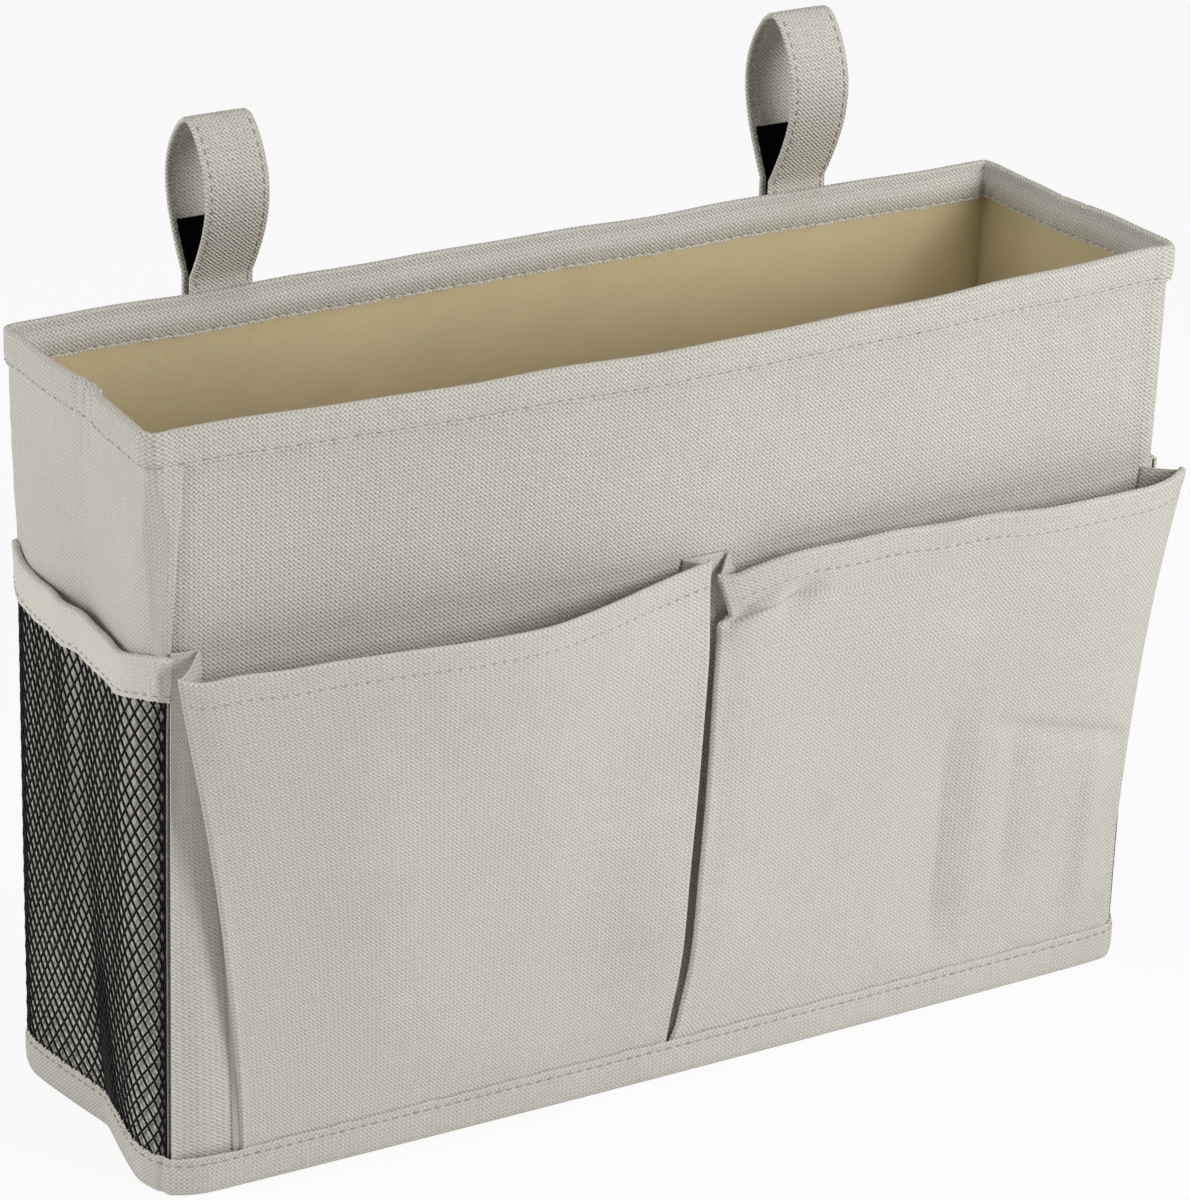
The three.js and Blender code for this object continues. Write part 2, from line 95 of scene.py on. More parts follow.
def angle(name, description, degrees):
    """An angle that a user may change, given here in degrees."""
    return FloatProperty(name=name, description=description, default=math.radians(degrees), subtype="ANGLE")


def strength(name, description, value):
    """A light's strength that a user may change."""
    return FloatProperty(name=name, description=description, default=value, min=0.0)


class CaddySizes(bpy.types.PropertyGroup):
    """Sizes of the caddy's cloth, tape, net and thread."""

    width: length("Width", "Body from side to side", 330)
    depth: length("Depth", "Body from front to back", 95)
    height: length("Height", "Base to rim", 232)
    corner: length("Corner radius", "Rounding of the upright corners", 5)
    flange: length("Corner flange", "How far a side panel laps the front and back at the foot", 5)
    flange_taper: length("Flange taper", "How much further the lap reaches at the rim", 5)
    front_bow: length("Front bow", "How far the front rim bellies out", 9)
    base_bow: length("Base bow", "How far the front's foot bellies out", 1.6)
    side_crease: length("Side crease", "Depth of the fold down each side", 5.5)
    cloth: length("Cloth thickness", "Outer cloth", 0.7)
    lining: length("Lining thickness", "Inner cloth", 0.5)
    board: length("Board thickness", "Stiffener inside the front and back", 1.2)
    hem: length("Rim hem", "Height of the hem over the rim", 10.4)
    binding: length("Base binding", "Height of the binding round the base", 12)
    pocket_mouth: length("Pocket mouth", "Height of the front pockets", 167)
    pocket_hem: length("Pocket hem", "Turned edge of a pocket mouth", 8.2)
    net_mouth: length("Net pocket mouth", "Height of the side net pockets", 168)
    net_binding: length("Net binding", "Height of the tape on a net pocket", 13)
    net_bow: length("Net bow", "How far a net pocket's mouth stands off the side", 1.7)
    net_cell_width: length("Net cell width", "One diamond of the net, across", 4.1)
    net_cell_height: length("Net cell height", "One diamond of the net, upright", 6.1)
    net_strand: length("Net strand", "Thickness of a strand", 0.74)
    strap_spread: length("Strap spread", "Between the strap centres", 194)
    strap_width: length("Strap width", "Width of the hanging straps", 20)
    strap_thickness: length("Strap thickness", "Doubled and sewn strap", 1.6)
    strap_rise: length("Strap rise", "Loop above the rim", 53.5)
    strap_lean: length("Strap lean", "How much higher the right loop stands than the left", 5)
    strap_belly: length("Strap belly", "Half of the loop's opening", 11)
    stitch_pitch: length("Stitch pitch", "From one stitch to the next", 3.4)
    stitch_length: length("Stitch length", "Thread that shows of one stitch", 2.1)
    thread: length("Thread", "Thickness of the sewing thread", 0.62)
    weave_width: length("Weave width", "Repeat of the weave across", 1.4)
    weave_height: length("Weave height", "Repeat of the weave upright", 1.3)


class CaddyColours(bpy.types.PropertyGroup):
    """Colours of the caddy."""

    cloth: colour("Outer cloth", "Light grey-beige woven cloth", 207, 203, 193)
    lining: colour("Lining", "Khaki inner cloth", 224, 209, 166)
    # The thread is darker than the cloth as painted shade: it stands for the shadow in the sunk stitch holes
    # along each row.
    thread: colour("Thread", "Sewing thread", 178, 172, 158)
    net: colour("Net", "Knitted net", 9, 9, 8)
    tape: colour("Hook and loop tape", "Closing patches of the straps", 10, 10, 10)
    board: colour("Board", "Stiffener board", 150, 146, 138)


class CaddyStage(bpy.types.PropertyGroup):
    """Camera and light."""

    azimuth: angle("Azimuth", "Camera round the upright axis", -30.85)
    elevation: angle("Elevation", "Camera above the horizon", 24.02)
    roll: angle("Roll", "Camera about its own axis", 1.88)
    distance: length("Distance", "Camera to target", 1486)
    target: FloatVectorProperty(
        name="Target", description="What the camera looks at", default=(0.0011, 0.0, 0.1345), subtype="XYZ"
    )
    focal: FloatProperty(
        name="Focal length", description="In pixels of the photograph's height", default=5041.0, min=1.0
    )
    ambient: strength("Ambient", "Light all round", 0.16)
    key: strength("Key light", "Soft light from the right front", 9.0)
    fill: strength("Fill light", "Soft light from the left", 10.5)
    top: strength("Top light", "Soft light from above", 7.0)


def mm(value):
    """A stored length, in the millimetres that the shapes are worked out in."""
    return value / MM


def smooth(value, low, high):
    """0 below low, 1 above high, and a smooth rise between."""
    t = np.clip((value - low) / (high - low), 0, 1)
    return t * t * (3 - 2 * t)


def between(value, low, full, end, gone):
    """A smooth rise from 0 at low to 1 at full, and a smooth fall from 1 at end to 0 where it is gone."""
    return smooth(value, low, full) * (1 - smooth(value, end, gone))


def bell(value, width):
    """1 at 0, falling off smoothly over a width."""
    return np.exp(-((value / width) ** 2))


def curve(x, knots):
    """A smooth curve through knots (x, y)."""
    kx, ky = np.array(knots, float).T
    slope = np.gradient(ky, kx)
    i = np.clip(np.searchsorted(kx, x) - 1, 0, len(kx) - 2)
    h = kx[i + 1] - kx[i]
    t = np.clip((x - kx[i]) / h, 0, 1)
    rise = ky[i] * (1 + 2 * t) * (1 - t) ** 2 + ky[i + 1] * t * t * (3 - 2 * t)
    return rise + h * t * (1 - t) * (slope[i] * (1 - t) - slope[i + 1] * t)


def valley(x, before, after):
    """A crease: 1 at x = 0, falling straight to 0 over a width before it and another after it."""
    return np.clip(1 - np.abs(x) / np.where(x < 0, before, after), 0, 1) ** 1.3


def ripple(turn, waves):
    """A small unevenness, from -1 to 1, along a turn from 0 to 1. Waves are (count, phase)."""
    return sum(np.sin(2 * np.pi * count * turn + phase) for count, phase in waves) / len(waves)


def running(steps):
    """The running total of steps, from 0."""
    return np.concatenate([[0], np.cumsum(steps)])


SLOW_WAVES = ((7, 0.4), (11, 2.2), (17, 4.1))
RIM_WAVES = ((23, 0.4), (37, 2.2), (61, 4.1), (89, 1.0))
BASE_WAVES = ((19, 1.4), (43, 0.2), (71, 3.1), (97, 5.0))
PUCKER_WAVES = ((117, 0.9), (151, 2.7), (203, 4.4))
LINING_WAVES = ((11, 0.5), (17, 2.9), (29, 4.6))

# Wrinkles at the rim of each side: place along the depth, width, depth inwards, reach down the side.
LEFT_TUCKS = (
    (-6.0, 1.6, 1.4, 16),
    (-11.0, 1.5, 1.2, 12),
    (-0.5, 1.7, 1.0, 22),
    (-20, 9.0, -0.7, 60),
    (20, 10.0, -0.5, 60),
    (36, 2.4, 0.9, 22),
)
RIGHT_TUCKS = (
    (6.0, 1.2, 0.7, 16),
    (-5.0, 1.0, 0.5, 12),
    (20, 9.0, -0.6, 50),
    (-18, 9.0, -0.5, 50),
)

# How far beyond the box's corner the front's right edge turns on to the side.
RIGHT_TURN = 2.0

# How far each corner draws in below the rim, in the order of the way round.
CORNER_DRAWS = (2.6, 4.1, 0.6, 2.0)

# The flat facet where the left side turns to the front: its outward direction, and a point on it, in x and
# out of the front.
FACET_X, FACET_Y = -0.8, -0.6
FACET_POINT = (-158.3, 1.2)


def divider(z):
    """Where the seam between the two front pockets stands, at a height."""
    return curve(z, ((9, 1.4), (16, 2.3), (36, 5.3), (72, 7.1), (90, 7.8), (143, 8.6), (167, 8.8)))


class SoftBox:
    """The soft box that every layer of cloth follows, in millimetres. A place on it is given by s, the way
    round it anticlockwise from the middle of the back, and by the height z."""

    def __init__(self, size):
        self.half_width = mm(size.width) / 2
        self.half_depth = mm(size.depth) / 2
        self.height = mm(size.height)
        self.corner = mm(size.corner)
        self.flange = mm(size.flange)
        self.taper = mm(size.flange_taper)
        self.bow = mm(size.front_bow)
        self.base_bow = mm(size.base_bow)
        self.crease = mm(size.side_crease)
        self.run = self.half_width - self.corner
        self.side_run = self.half_depth - self.corner
        self._walk()

    def _walk(self):
        """Lays out the plain box's outline once."""
        stations = [(0, self.half_depth, 0, 1)]
        for sign_x, sign_y, start in ((-1, 1, 90), (-1, -1, 180), (1, -1, 270), (1, 1, 0)):
            for step in range(0, 91, 5):
                a = math.radians(start + step)
                nx, ny = math.cos(a), math.sin(a)
                x = sign_x * self.run + nx * self.corner
                y = sign_y * self.side_run + ny * self.corner
                stations.append((x, y, nx, ny))
        stations.append((0, self.half_depth, 0, 1))
        self.line = np.array(stations, float)
        self.s = running(np.hypot(*np.diff(self.line[:, :2], axis=0).T))
        self.girth = self.s[-1]
        arc = self.s[19] - self.s[1]
        self.left_start = self.run + arc
        self.front_start = self.left_start + 2 * self.side_run + arc
        self.right_start = self.front_start + 2 * self.run + arc
        back_start = self.right_start + 2 * self.side_run + arc
        starts = (self.left_start, self.front_start, self.right_start, back_start)
        self.corners = [start - arc / 2 for start in starts]

    def on_front(self, x):
        """The way round to a place on the front."""
        return self.front_start + self.run + x

    def on_back(self, x):
        """The way round to a place on the back."""
        return self.girth - x

    def seam(self, z):
        """How far from the middle the side panel's flange ends, at a height."""
        return self.half_width - self.flange - self.taper * np.clip(z / self.height, 0, 1) ** 5

    def forward(self, y):
        """1 at the front of the box and 0 at its back."""
        return np.clip(0.5 - y / (2 * self.half_depth), 0, 1)

    def front_slack(self, x, z):
        """How far the front stands out of the plain box."""
        up = np.clip(z / self.height, 0, 1)
        across = np.clip(1 - (x / self.half_width) ** 2, 0, 1)
        wave = 0.35 * np.sin(x / 31 + 0.6) * np.sin(z / 47 + 0.8)
        wave = wave + 0.25 * np.sin(x / 17 - z / 39 + 2.0)
        belly = across**1.5 * (1 + 0.12 * x / self.half_width)
        return across * self.base_bow * (1 - up) + belly * self.bow * up**3 + wave * across * up

    def side_slack(self, y, z, tucks, middle):
        """How far a side stands out of the plain box: a fold down its middle, and tucks below the rim."""
        up = np.clip(z / self.height, 0, 1)
        depth = self.crease * (1.25 - up)
        off = np.sqrt(((y - middle) / self.side_run) ** 2 + 0.035**2)
        fold = depth * np.clip(1 - off, 0, 1) ** 1.3
        edge = np.clip(1 - (y / self.half_depth) ** 2, 0, 1)
        for at, width, inwards, reach in tucks:
            fold = fold + edge * inwards * bell(y - at, width) * np.exp((z - self.height) / reach)
        return 1.4 * edge * np.sin(np.pi * up) - fold

    def corner_slack(self, s, z):
        """How far the corners draw in below the rim, where the cloth is soft."""
        low = 1 - smooth(z, 140, self.height - 6)
        drawn = sum(low * draw * bell(s - at, 7.8) for at, draw in zip(self.corners, CORNER_DRAWS))
        _, _, nx, ny = self.plain(s)
        sharp = 0.6 * self.corner * (1 / np.maximum(np.abs(nx), np.abs(ny)) - 1)
        return drawn - sharp * smooth(z, 100, 190)

    def plain(self, s):
        """Places and outward directions on the plain box."""
        x, y, nx, ny = (np.interp(s, self.s, column, period=self.girth) for column in self.line.T)
        size = np.hypot(nx, ny)
        return x, y, nx / size, ny / size

    def slack(self, s, z):
        """How far the soft box stands out of the plain one, without the groove."""
        x, y, nx, ny = self.plain(s)
        out = np.clip(-ny, 0, 1) * self.front_slack(x, z)
        out = out + np.clip(-nx, 0, 1) * self.side_slack(y, z, LEFT_TUCKS, -3)
        out = out + np.clip(nx, 0, 1) * self.side_slack(y, z, RIGHT_TUCKS, 3)
        out = out + np.clip(nx, 0, 1) * self.forward(y) * (0.8 + 1.8 * smooth(z, 40, 170))
        out = out + np.clip(-nx, 0, 1) * self.forward(y) ** 2 * 1.6 * smooth(z, 185, self.height)
        up = np.clip(z / self.height, 0, 1)
        out = out + 0.8 * np.clip(ny, 0, 1) * np.clip(1 - (x / self.half_width) ** 2, 0, 1) * up
        return out - self.corner_slack(s, z)

    def groove(self, s, z):
        """How far the front is drawn in along the seam between its pockets."""
        x, _, _, ny = self.plain(s)
        return 3.2 * np.clip(-ny, 0, 1) * bell(x - divider(z), 2.4) * between(z, 13, 26, 150, 166)

    def front_rest(self, x, z):
        """How far the front stands out of the plain box, with its corners drawn in."""
        return self.slack(self.on_front(np.clip(x, -self.run, self.run)), z)

    def trimmed(self, x, y, z, out):
        """Lays a point on the flat facet where the left side turns to the front, between net and rim."""
        clear = out + 4.5 * smooth(z, 195, 226) + 6 * (1 - smooth(z, 100, 150))
        at_x, at_y = FACET_POINT[0], -self.half_depth - FACET_POINT[1]
        over = np.maximum(FACET_X * (x - at_x) + FACET_Y * (y - at_y) - clear, 0)
        return x - FACET_X * over, y - FACET_Y * over

    def place(self, s, z, out=0.0):
        """Points at a distance out of the soft box."""
        s, z, out = np.broadcast_arrays(s, z, out)
        x, y, nx, ny = self.plain(s)
        d = out + self.slack(s, z) - self.groove(s, z)
        rise = 0.5 * ripple(s / self.girth, SLOW_WAVES) * smooth(z, self.height - 30, self.height)
        rise = rise + (2.9 + 0.7 * x / self.half_width) * self.forward(y) * smooth(z, 90, self.height - 10)
        return np.stack([*self.trimmed(x + nx * d, y + ny * d, z, out), z + rise], -1)

    def stations(self, count):
        """Ways round the box, closer together on the sides, where the cloth wrinkles."""
        s = np.linspace(0, self.girth, 8000, endpoint=False)
        crowd = np.cumsum(0.75 + 1.1 * np.abs(self.plain(s)[2]))
        return np.interp(np.arange(count) / count * crowd[-1], crowd, s)

    def by_wall(self, s, on_walls, on_sides):
        """One value on the front and back, another on the sides, and a blend round the corners."""
        _, _, nx, _ = self.plain(s)
        return on_walls + (on_sides - on_walls) * np.abs(nx) ** 2


def quads(grid):
    """Faces between the rows and columns of a grid of point numbers."""
    return np.stack([grid[:-1, :-1], grid[:-1, 1:], grid[1:, 1:], grid[1:, :-1]], -1).reshape(-1, 4)


def sheet_faces(grid, count, ring):
    """Faces of a sheet: its two sides and the strips that close its edges."""
    under = grid + count
    faces = [quads(grid), quads(under)[:, ::-1]]
    faces.append(quads(np.stack([under[0], grid[0]])))
    faces.append(quads(np.stack([grid[-1], under[-1]])))
    if not ring:
        faces.append(quads(np.stack([under[:, 0], grid[:, 0]], 1)))
        faces.append(quads(np.stack([grid[:, -1], under[:, -1]], 1)))
    return np.concatenate(faces)


def facing_out(points, faces):
    """True if a closed mesh's faces point outwards."""
    a, b, c, d = (points[faces[:, k]] for k in range(4))
    return np.einsum("ij,ij->", a, np.cross(b, c) + np.cross(c, d)) > 0


def new_object(name, mesh):
    """An object of a mesh, a lamp or a camera, in the scene."""
    made = bpy.data.objects.new(name, mesh)
    bpy.context.scene.collection.objects.link(made)
    return made


def smooth_shaded(mesh):
    """Shades a mesh smooth and keeps its sharp edges."""
    mesh.polygons.foreach_set("use_smooth", np.ones(len(mesh.polygons), bool))
    mesh.set_sharp_from_angle(angle=SHARP_ANGLE)


def cloth_object(name, outer, inner, uv, finish, ring=False):
    """A closed sheet from the points of its two sides, rows by columns. A ring's last column meets its
    first, and its uv has one column more."""
    rows, columns = outer.shape[:2]
    count = rows * columns
    grid = np.arange(count).reshape(rows, columns)
    if ring:
        grid = np.concatenate([grid, grid[:, :1]], 1)
    uv_grid = np.arange(uv.shape[0] * uv.shape[1]).reshape(uv.shape[:2])
    points = np.concatenate([outer.reshape(-1, 3), inner.reshape(-1, 3)]) * MM
    faces = sheet_faces(grid, count, ring)
    uv_faces = sheet_faces(uv_grid, 0, ring)
    if not facing_out(points, faces):
        faces, uv_faces = faces[:, ::-1], uv_faces[:, ::-1]
    mesh = bpy.data.meshes.new(name)
    mesh.from_pydata(points.tolist(), [], faces.tolist())
    layer = mesh.uv_layers.new(name=CLOTH_UV)
    layer.uv.foreach_set("vector", (uv.reshape(-1, 2)[uv_faces.ravel()] * MM).ravel())
    mesh.materials.append(finish)
    smooth_shaded(mesh)
    return new_object(name, mesh)


def facing(grid):
    """Directions that a grid of points faces."""
    normal = np.cross(np.gradient(grid, axis=1), np.gradient(grid, axis=0))
    return normal / np.maximum(np.linalg.norm(normal, axis=-1, keepdims=True), 1e-9)


def both_sides(grid, thickness):
    """The two sides of a sheet of cloth whose middle is the grid."""
    normal = facing(grid)
    return grid + normal * thickness / 2, grid - normal * thickness / 2


def flat_uv(grid):
    """Cloth coordinates of a grid, by the lengths along its rows and columns."""
    across = np.linalg.norm(np.diff(grid, axis=1), axis=-1).mean(0)
    upright = np.linalg.norm(np.diff(grid, axis=0), axis=-1).mean(1)
    return np.stack(np.meshgrid(running(across), running(upright)), -1)


def laid_cloth(name, box, s, z, out, thickness, uv, finish, ring=False):
    """A sheet laid on the soft box, with its outer face at a distance out of it."""
    return cloth_object(name, box.place(s, z, out), box.place(s, z, out - thickness), uv, finish, ring)


def cloth_along(name, grid, thickness, finish):
    """A sheet whose middle is the grid, and its flat size in metres."""
    uv = flat_uv(grid)
    return cloth_object(name, *both_sides(grid, thickness), uv, finish), tuple(uv[-1, -1] * MM)


def slab_object(name, loops, finish):
    """A closed slab from loops of points, lowest first, closed by flat faces."""
    rows, columns = loops.shape[:2]
    grid = np.arange(rows * columns).reshape(rows, columns)
    faces = quads(np.concatenate([grid, grid[:, :1]], 1)).tolist()
    faces.append(grid[0, ::-1].tolist())
    faces.append(grid[-1].tolist())
    mesh = bpy.data.meshes.new(name)
    mesh.from_pydata((loops.reshape(-1, 3) * MM).tolist(), [], faces)
    layer = mesh.uv_layers.new(name=CLOTH_UV)
    corners = np.array([v for face in faces for v in face])
    layer.uv.foreach_set("vector", (loops.reshape(-1, 3)[corners, :2] * MM).ravel())
    mesh.materials.append(finish)
    smooth_shaded(mesh)
    return new_object(name, mesh)


def add_node(tree, kind, settings=None, sockets=None):
    """A node of a kind, with its settings, and with values or links in its sockets."""
    node = tree.nodes.new(kind)
    for name, value in (settings or {}).items():
        setattr(node, name, value)
    for name, value in (sockets or {}).items():
        if isinstance(value, Signal):
            tree.links.new(value.socket, node.inputs[name])
        elif isinstance(value, bpy.types.NodeSocket):
            tree.links.new(value, node.inputs[name])
        else:
            node.inputs[name].default_value = value
    return node


class Signal:
    """A value in a material, so that shader maths reads as an expression."""

    def __init__(self, tree, socket):
        self.tree = tree
        self.socket = socket

    def math(self, operation, *values):
        """The result of one Math node."""
        node = add_node(self.tree, "ShaderNodeMath", {"operation": operation}, dict(enumerate(values)))
        return Signal(self.tree, node.outputs[0])

    def __add__(self, other):
        return self.math("ADD", self, other)

    def __radd__(self, other):
        return self.math("ADD", other, self)

    def __sub__(self, other):
        return self.math("SUBTRACT", self, other)

    def __rsub__(self, other):
        return self.math("SUBTRACT", other, self)

    def __mul__(self, other):
        return self.math("MULTIPLY", self, other)

    def __rmul__(self, other):
        return self.math("MULTIPLY", other, self)

    def sine(self):
        return self.math("SINE", self)

    def clamped(self):
        """The value kept between 0 and 1."""
        return self.math("MINIMUM", self.math("MAXIMUM", self, 0.0), 1.0)


class Finish:
    """A procedural material under construction."""

    def __init__(self, name, sheen=0.0, specular=0.2):
        self.material = bpy.data.materials.new(name)
        self.material.use_nodes = True
        self.tree = self.material.node_tree
        self.tree.nodes.clear()
        sockets = {"Sheen Weight": sheen, "Specular IOR Level": specular}
        self.surface = self.node("ShaderNodeBsdfPrincipled", sockets=sockets)
        self.node("ShaderNodeOutputMaterial", sockets={"Surface": self.surface.outputs["BSDF"]})

    def node(self, kind, settings=None, sockets=None):
        return add_node(self.tree, kind, settings, sockets)

    def value(self, node, output=0):
        return Signal(self.tree, node.outputs[output])

    def cloth_place(self):
        """The two cloth coordinates, in metres."""
        uv = self.node("ShaderNodeUVMap", {"uv_map": CLOTH_UV})
        split = self.node("ShaderNodeSeparateXYZ", sockets={"Vector": uv.outputs["UV"]})
        return self.value(split, "X"), self.value(split, "Y")

    def noise(self, vector, scale, detail=2.0):
        """Soft noise from 0 to 1."""
        sockets = {"Vector": vector, "Scale": scale, "Detail": detail, "Roughness": 0.55}
        return self.value(self.node("ShaderNodeTexNoise", sockets=sockets), "Fac")

    def object_noise(self, scale, detail=2.0):
        """Noise that stays with the piece."""
        place = self.node("ShaderNodeTexCoord")
        return self.noise(place.outputs["Object"], scale, detail)

    def vector(self, x, y):
        node = self.node("ShaderNodeCombineXYZ", sockets={"X": x, "Y": y, "Z": 0.0})
        return node.outputs["Vector"]

    def tint(self, tone, dark, light):
        """Feeds the base colour with a blend from a dark colour at tone 0 to a light one at 1."""
        mix = self.node(
            "ShaderNodeMix", {"data_type": "RGBA"}, {0: tone, 6: (*dark, 1.0), 7: (*light, 1.0)}
        )
        self.tree.links.new(mix.outputs[2], self.surface.inputs["Base Color"])

    def rough(self, value):
        """Feeds the roughness."""
        self.tree.links.new(value.socket, self.surface.inputs["Roughness"])

    def relief(self, height, distance):
        """Feeds the normal with a bump of a depth in metres."""
        sockets = {"Height": height, "Distance": distance, "Strength": 1.0}
        bump = self.node("ShaderNodeBump", sockets=sockets)
        self.tree.links.new(bump.outputs["Normal"], self.surface.inputs["Normal"])


def shade(base, amount):
    """A colour made darker or lighter."""
    return tuple(min(1.0, c * amount) for c in base)


def woven(name, base, size, contrast, relief, diagonal=0.0):
    """Plain-woven cloth: uneven light floats on a darker ground, a faint grid between the yarns, and a
    raised weave. A diagonal adds the slanting ribs of a strap."""
    finish = Finish(name, 0.1)
    u, v = finish.cloth_place()
    drift = finish.noise(finish.vector(u * 500, v * 500), 1.0) - 0.5
    across = u * (2 * math.pi / size.weave_width) + drift * 3.0
    upright = v * (2 * math.pi / size.weave_height) + drift * 2.0
    warp = finish.noise(finish.vector(u * 900, v * 60), 1.0)
    weft = finish.noise(finish.vector(u * 60, v * 900), 1.0)
    slub = warp + weft - 1.0
    spread = finish.vector(u * (1.3 / size.weave_width), v * (1.3 / size.weave_height))
    uneven = finish.noise(spread, 1.0, 1.0)
    blotch = finish.object_noise(22.0, 3.0) - 0.5
    weave = ((across + upright).sine() * 0.6 + (across - upright).sine() * 0.42) * (uneven * 2.0)
    grid = across.sine() + upright.sine()
    if diagonal:
        weave = weave + (across + upright).sine() * diagonal
    tone = (0.5 + (weave + grid * 0.2) * contrast + slub * (0.4 * contrast) + blotch * 0.16).clamped()
    finish.tint(tone, shade(base, 0.6), shade(base, 1.3))
    finish.rough((0.86 - weave * 0.06 + slub * 0.1).clamped())
    finish.relief(weave * 0.5 + grid * 0.12 + slub * 0.15, relief)
    return finish.material


# Repeat of the lining's weave, in metres.
LINING_WEAVE = 0.0008


def lining_finish(base):
    """Thin, smooth lining cloth with a faint weave."""
    finish = Finish("khaki_lining", 0.1)
    u, v = finish.cloth_place()
    count = 2 * math.pi / LINING_WEAVE
    weave = (u * count).sine() * (v * count).sine()
    blotch = finish.object_noise(30.0, 3.0) - 0.5
    tone = (0.5 + weave * 0.12 + blotch * 0.7).clamped()
    finish.tint(tone, shade(base, 0.8), shade(base, 1.12))
    finish.rough((0.68 + blotch * 0.2).clamped())
    finish.relief(weave * 0.3 + blotch, 0.00025)
    return finish.material


def grainy(name, base, scale, detail, shades, rough, relief, sheen, specular):
    """A plain material with the grain of its fibres."""
    finish = Finish(name, sheen, specular)
    grain = finish.object_noise(scale, detail)
    finish.tint(grain, *(shade(base, amount) for amount in shades))
    finish.rough((rough[0] + grain * rough[1]).clamped())
    finish.relief(grain, relief)
    return finish.material


# Woven cloths: share of the cloth's colour, contrast, depth of the relief, strength of a strap's ribs.
WEAVES = {
    "oxford_cloth": (1.0, 0.4, 0.0002, 0.0),
    "pocket_cloth": (1.0, 0.32, 0.00015, 0.0),
    "trim_cloth": (1.16, 0.17, 0.0002, 0.0),
    # The strap cloth's larger share is painted light: the same cloth made lighter to make up for the shade
    # on the straps' curved fronts.
    "strap_cloth": (1.12, 0.26, 0.00025, 0.3),
}

# Plain materials: colour, scale and detail of the grain, its shades, least roughness and its span, depth of
# the relief, sheen, specular level.
GRAINS = {
    "sewing_thread": ("thread", 2600.0, 2.0, (0.78, 1.12), (0.5, 0.3), 0.0001, 0.2, 0.2),
    "net_yarn": ("net", 1500.0, 3.0, (0.6, 1.9), (0.45, 0.3), 0.00015, 0.0, 0.1),
    "hook_pile": ("tape", 900.0, 4.0, (0.5, 2.2), (0.6, 0.3), 0.0004, 0.0, 0.0),
    "loop_pile": ("tape", 1400.0, 4.0, (0.5, 2.2), (0.6, 0.3), 0.0004, 0.0, 0.0),
    "fibre_board": ("board", 240.0, 5.0, (0.85, 1.1), (0.8, 0.15), 0.0002, 0.0, 0.2),
}


def finishes(scene):
    """Every material of the caddy, made once and found by name afterwards."""
    size, colours = scene.caddy_sizes, scene.caddy_colours
    found = bpy.data.materials.get
    made = {"khaki_lining": found("khaki_lining") or lining_finish(colours.lining)}
    for name, (share, *weave) in WEAVES.items():
        made[name] = found(name) or woven(name, shade(colours.cloth, share), size, *weave)
    for name, (part, *grain) in GRAINS.items():
        made[name] = found(name) or grainy(name, getattr(colours, part), *grain)
    return made


class Recipe:
    """A Geometry Nodes tree under construction, with named inputs."""

    def __init__(self, name, inputs):
        found = bpy.data.node_groups.get(name)
        if found:
            bpy.data.node_groups.remove(found)
        self.tree = bpy.data.node_groups.new(name, "GeometryNodeTree")
        face = self.tree.interface
        face.new_socket("Geometry", in_out="INPUT", socket_type="NodeSocketGeometry")
        self.names = {}
        for label, kind in inputs.items():
            self.names[label] = face.new_socket(label, in_out="INPUT", socket_type=kind).identifier
        face.new_socket("Geometry", in_out="OUTPUT", socket_type="NodeSocketGeometry")
        self.start = self.node("NodeGroupInput")

    def node(self, kind, settings=None, sockets=None):
        return add_node(self.tree, kind, settings, sockets)

    def input(self, label):
        return self.start.outputs[label]

    def finish(self, geometry, material):
        """Ends the tree: real geometry, smooth, in a material."""
        real = self.node("GeometryNodeRealizeInstances", sockets={"Geometry": geometry})
        soft = self.node("GeometryNodeSetShadeSmooth", sockets={"Geometry": real.outputs[0]})
        sockets = {"Geometry": soft.outputs[0], "Material": material}
        painted = self.node("GeometryNodeSetMaterial", sockets=sockets)
        self.node("NodeGroupOutput", sockets={0: painted.outputs[0]})

    def run(self, name, mesh, values):
        """The tree's result on a mesh, as a plain object."""
        carrier = new_object(name + "_path", mesh)
        modifier = carrier.modifiers.new(self.tree.name, "NODES")
        modifier.node_group = self.tree
        for label, value in values.items():
            modifier[self.names[label]] = value
        shaped = carrier.evaluated_get(bpy.context.evaluated_depsgraph_get())
        made = bpy.data.meshes.new_from_object(shaped)
        carrier.modifiers.remove(modifier)
        bpy.data.objects.remove(carrier)
        bpy.data.meshes.remove(mesh)
        if not made.polygons:
            raise RuntimeError(f"{name}: the tree {self.tree.name} made nothing")
        made.name = name
        return new_object(name, made)


FLOAT, WHOLE = "NodeSocketFloat", "NodeSocketInt"

# Radius of a bristle's blunt tip in metres, and its least and greatest turn off the tape in radians.
BRISTLE_TIP = 0.0002
BRISTLE_TURNS = (-0.5, -0.5, 0.0), (0.5, 0.5, 6.28)

# The shortest and longest stitches, as shares of the stitch length.
STITCH_SHARES = 0.85, 1.08


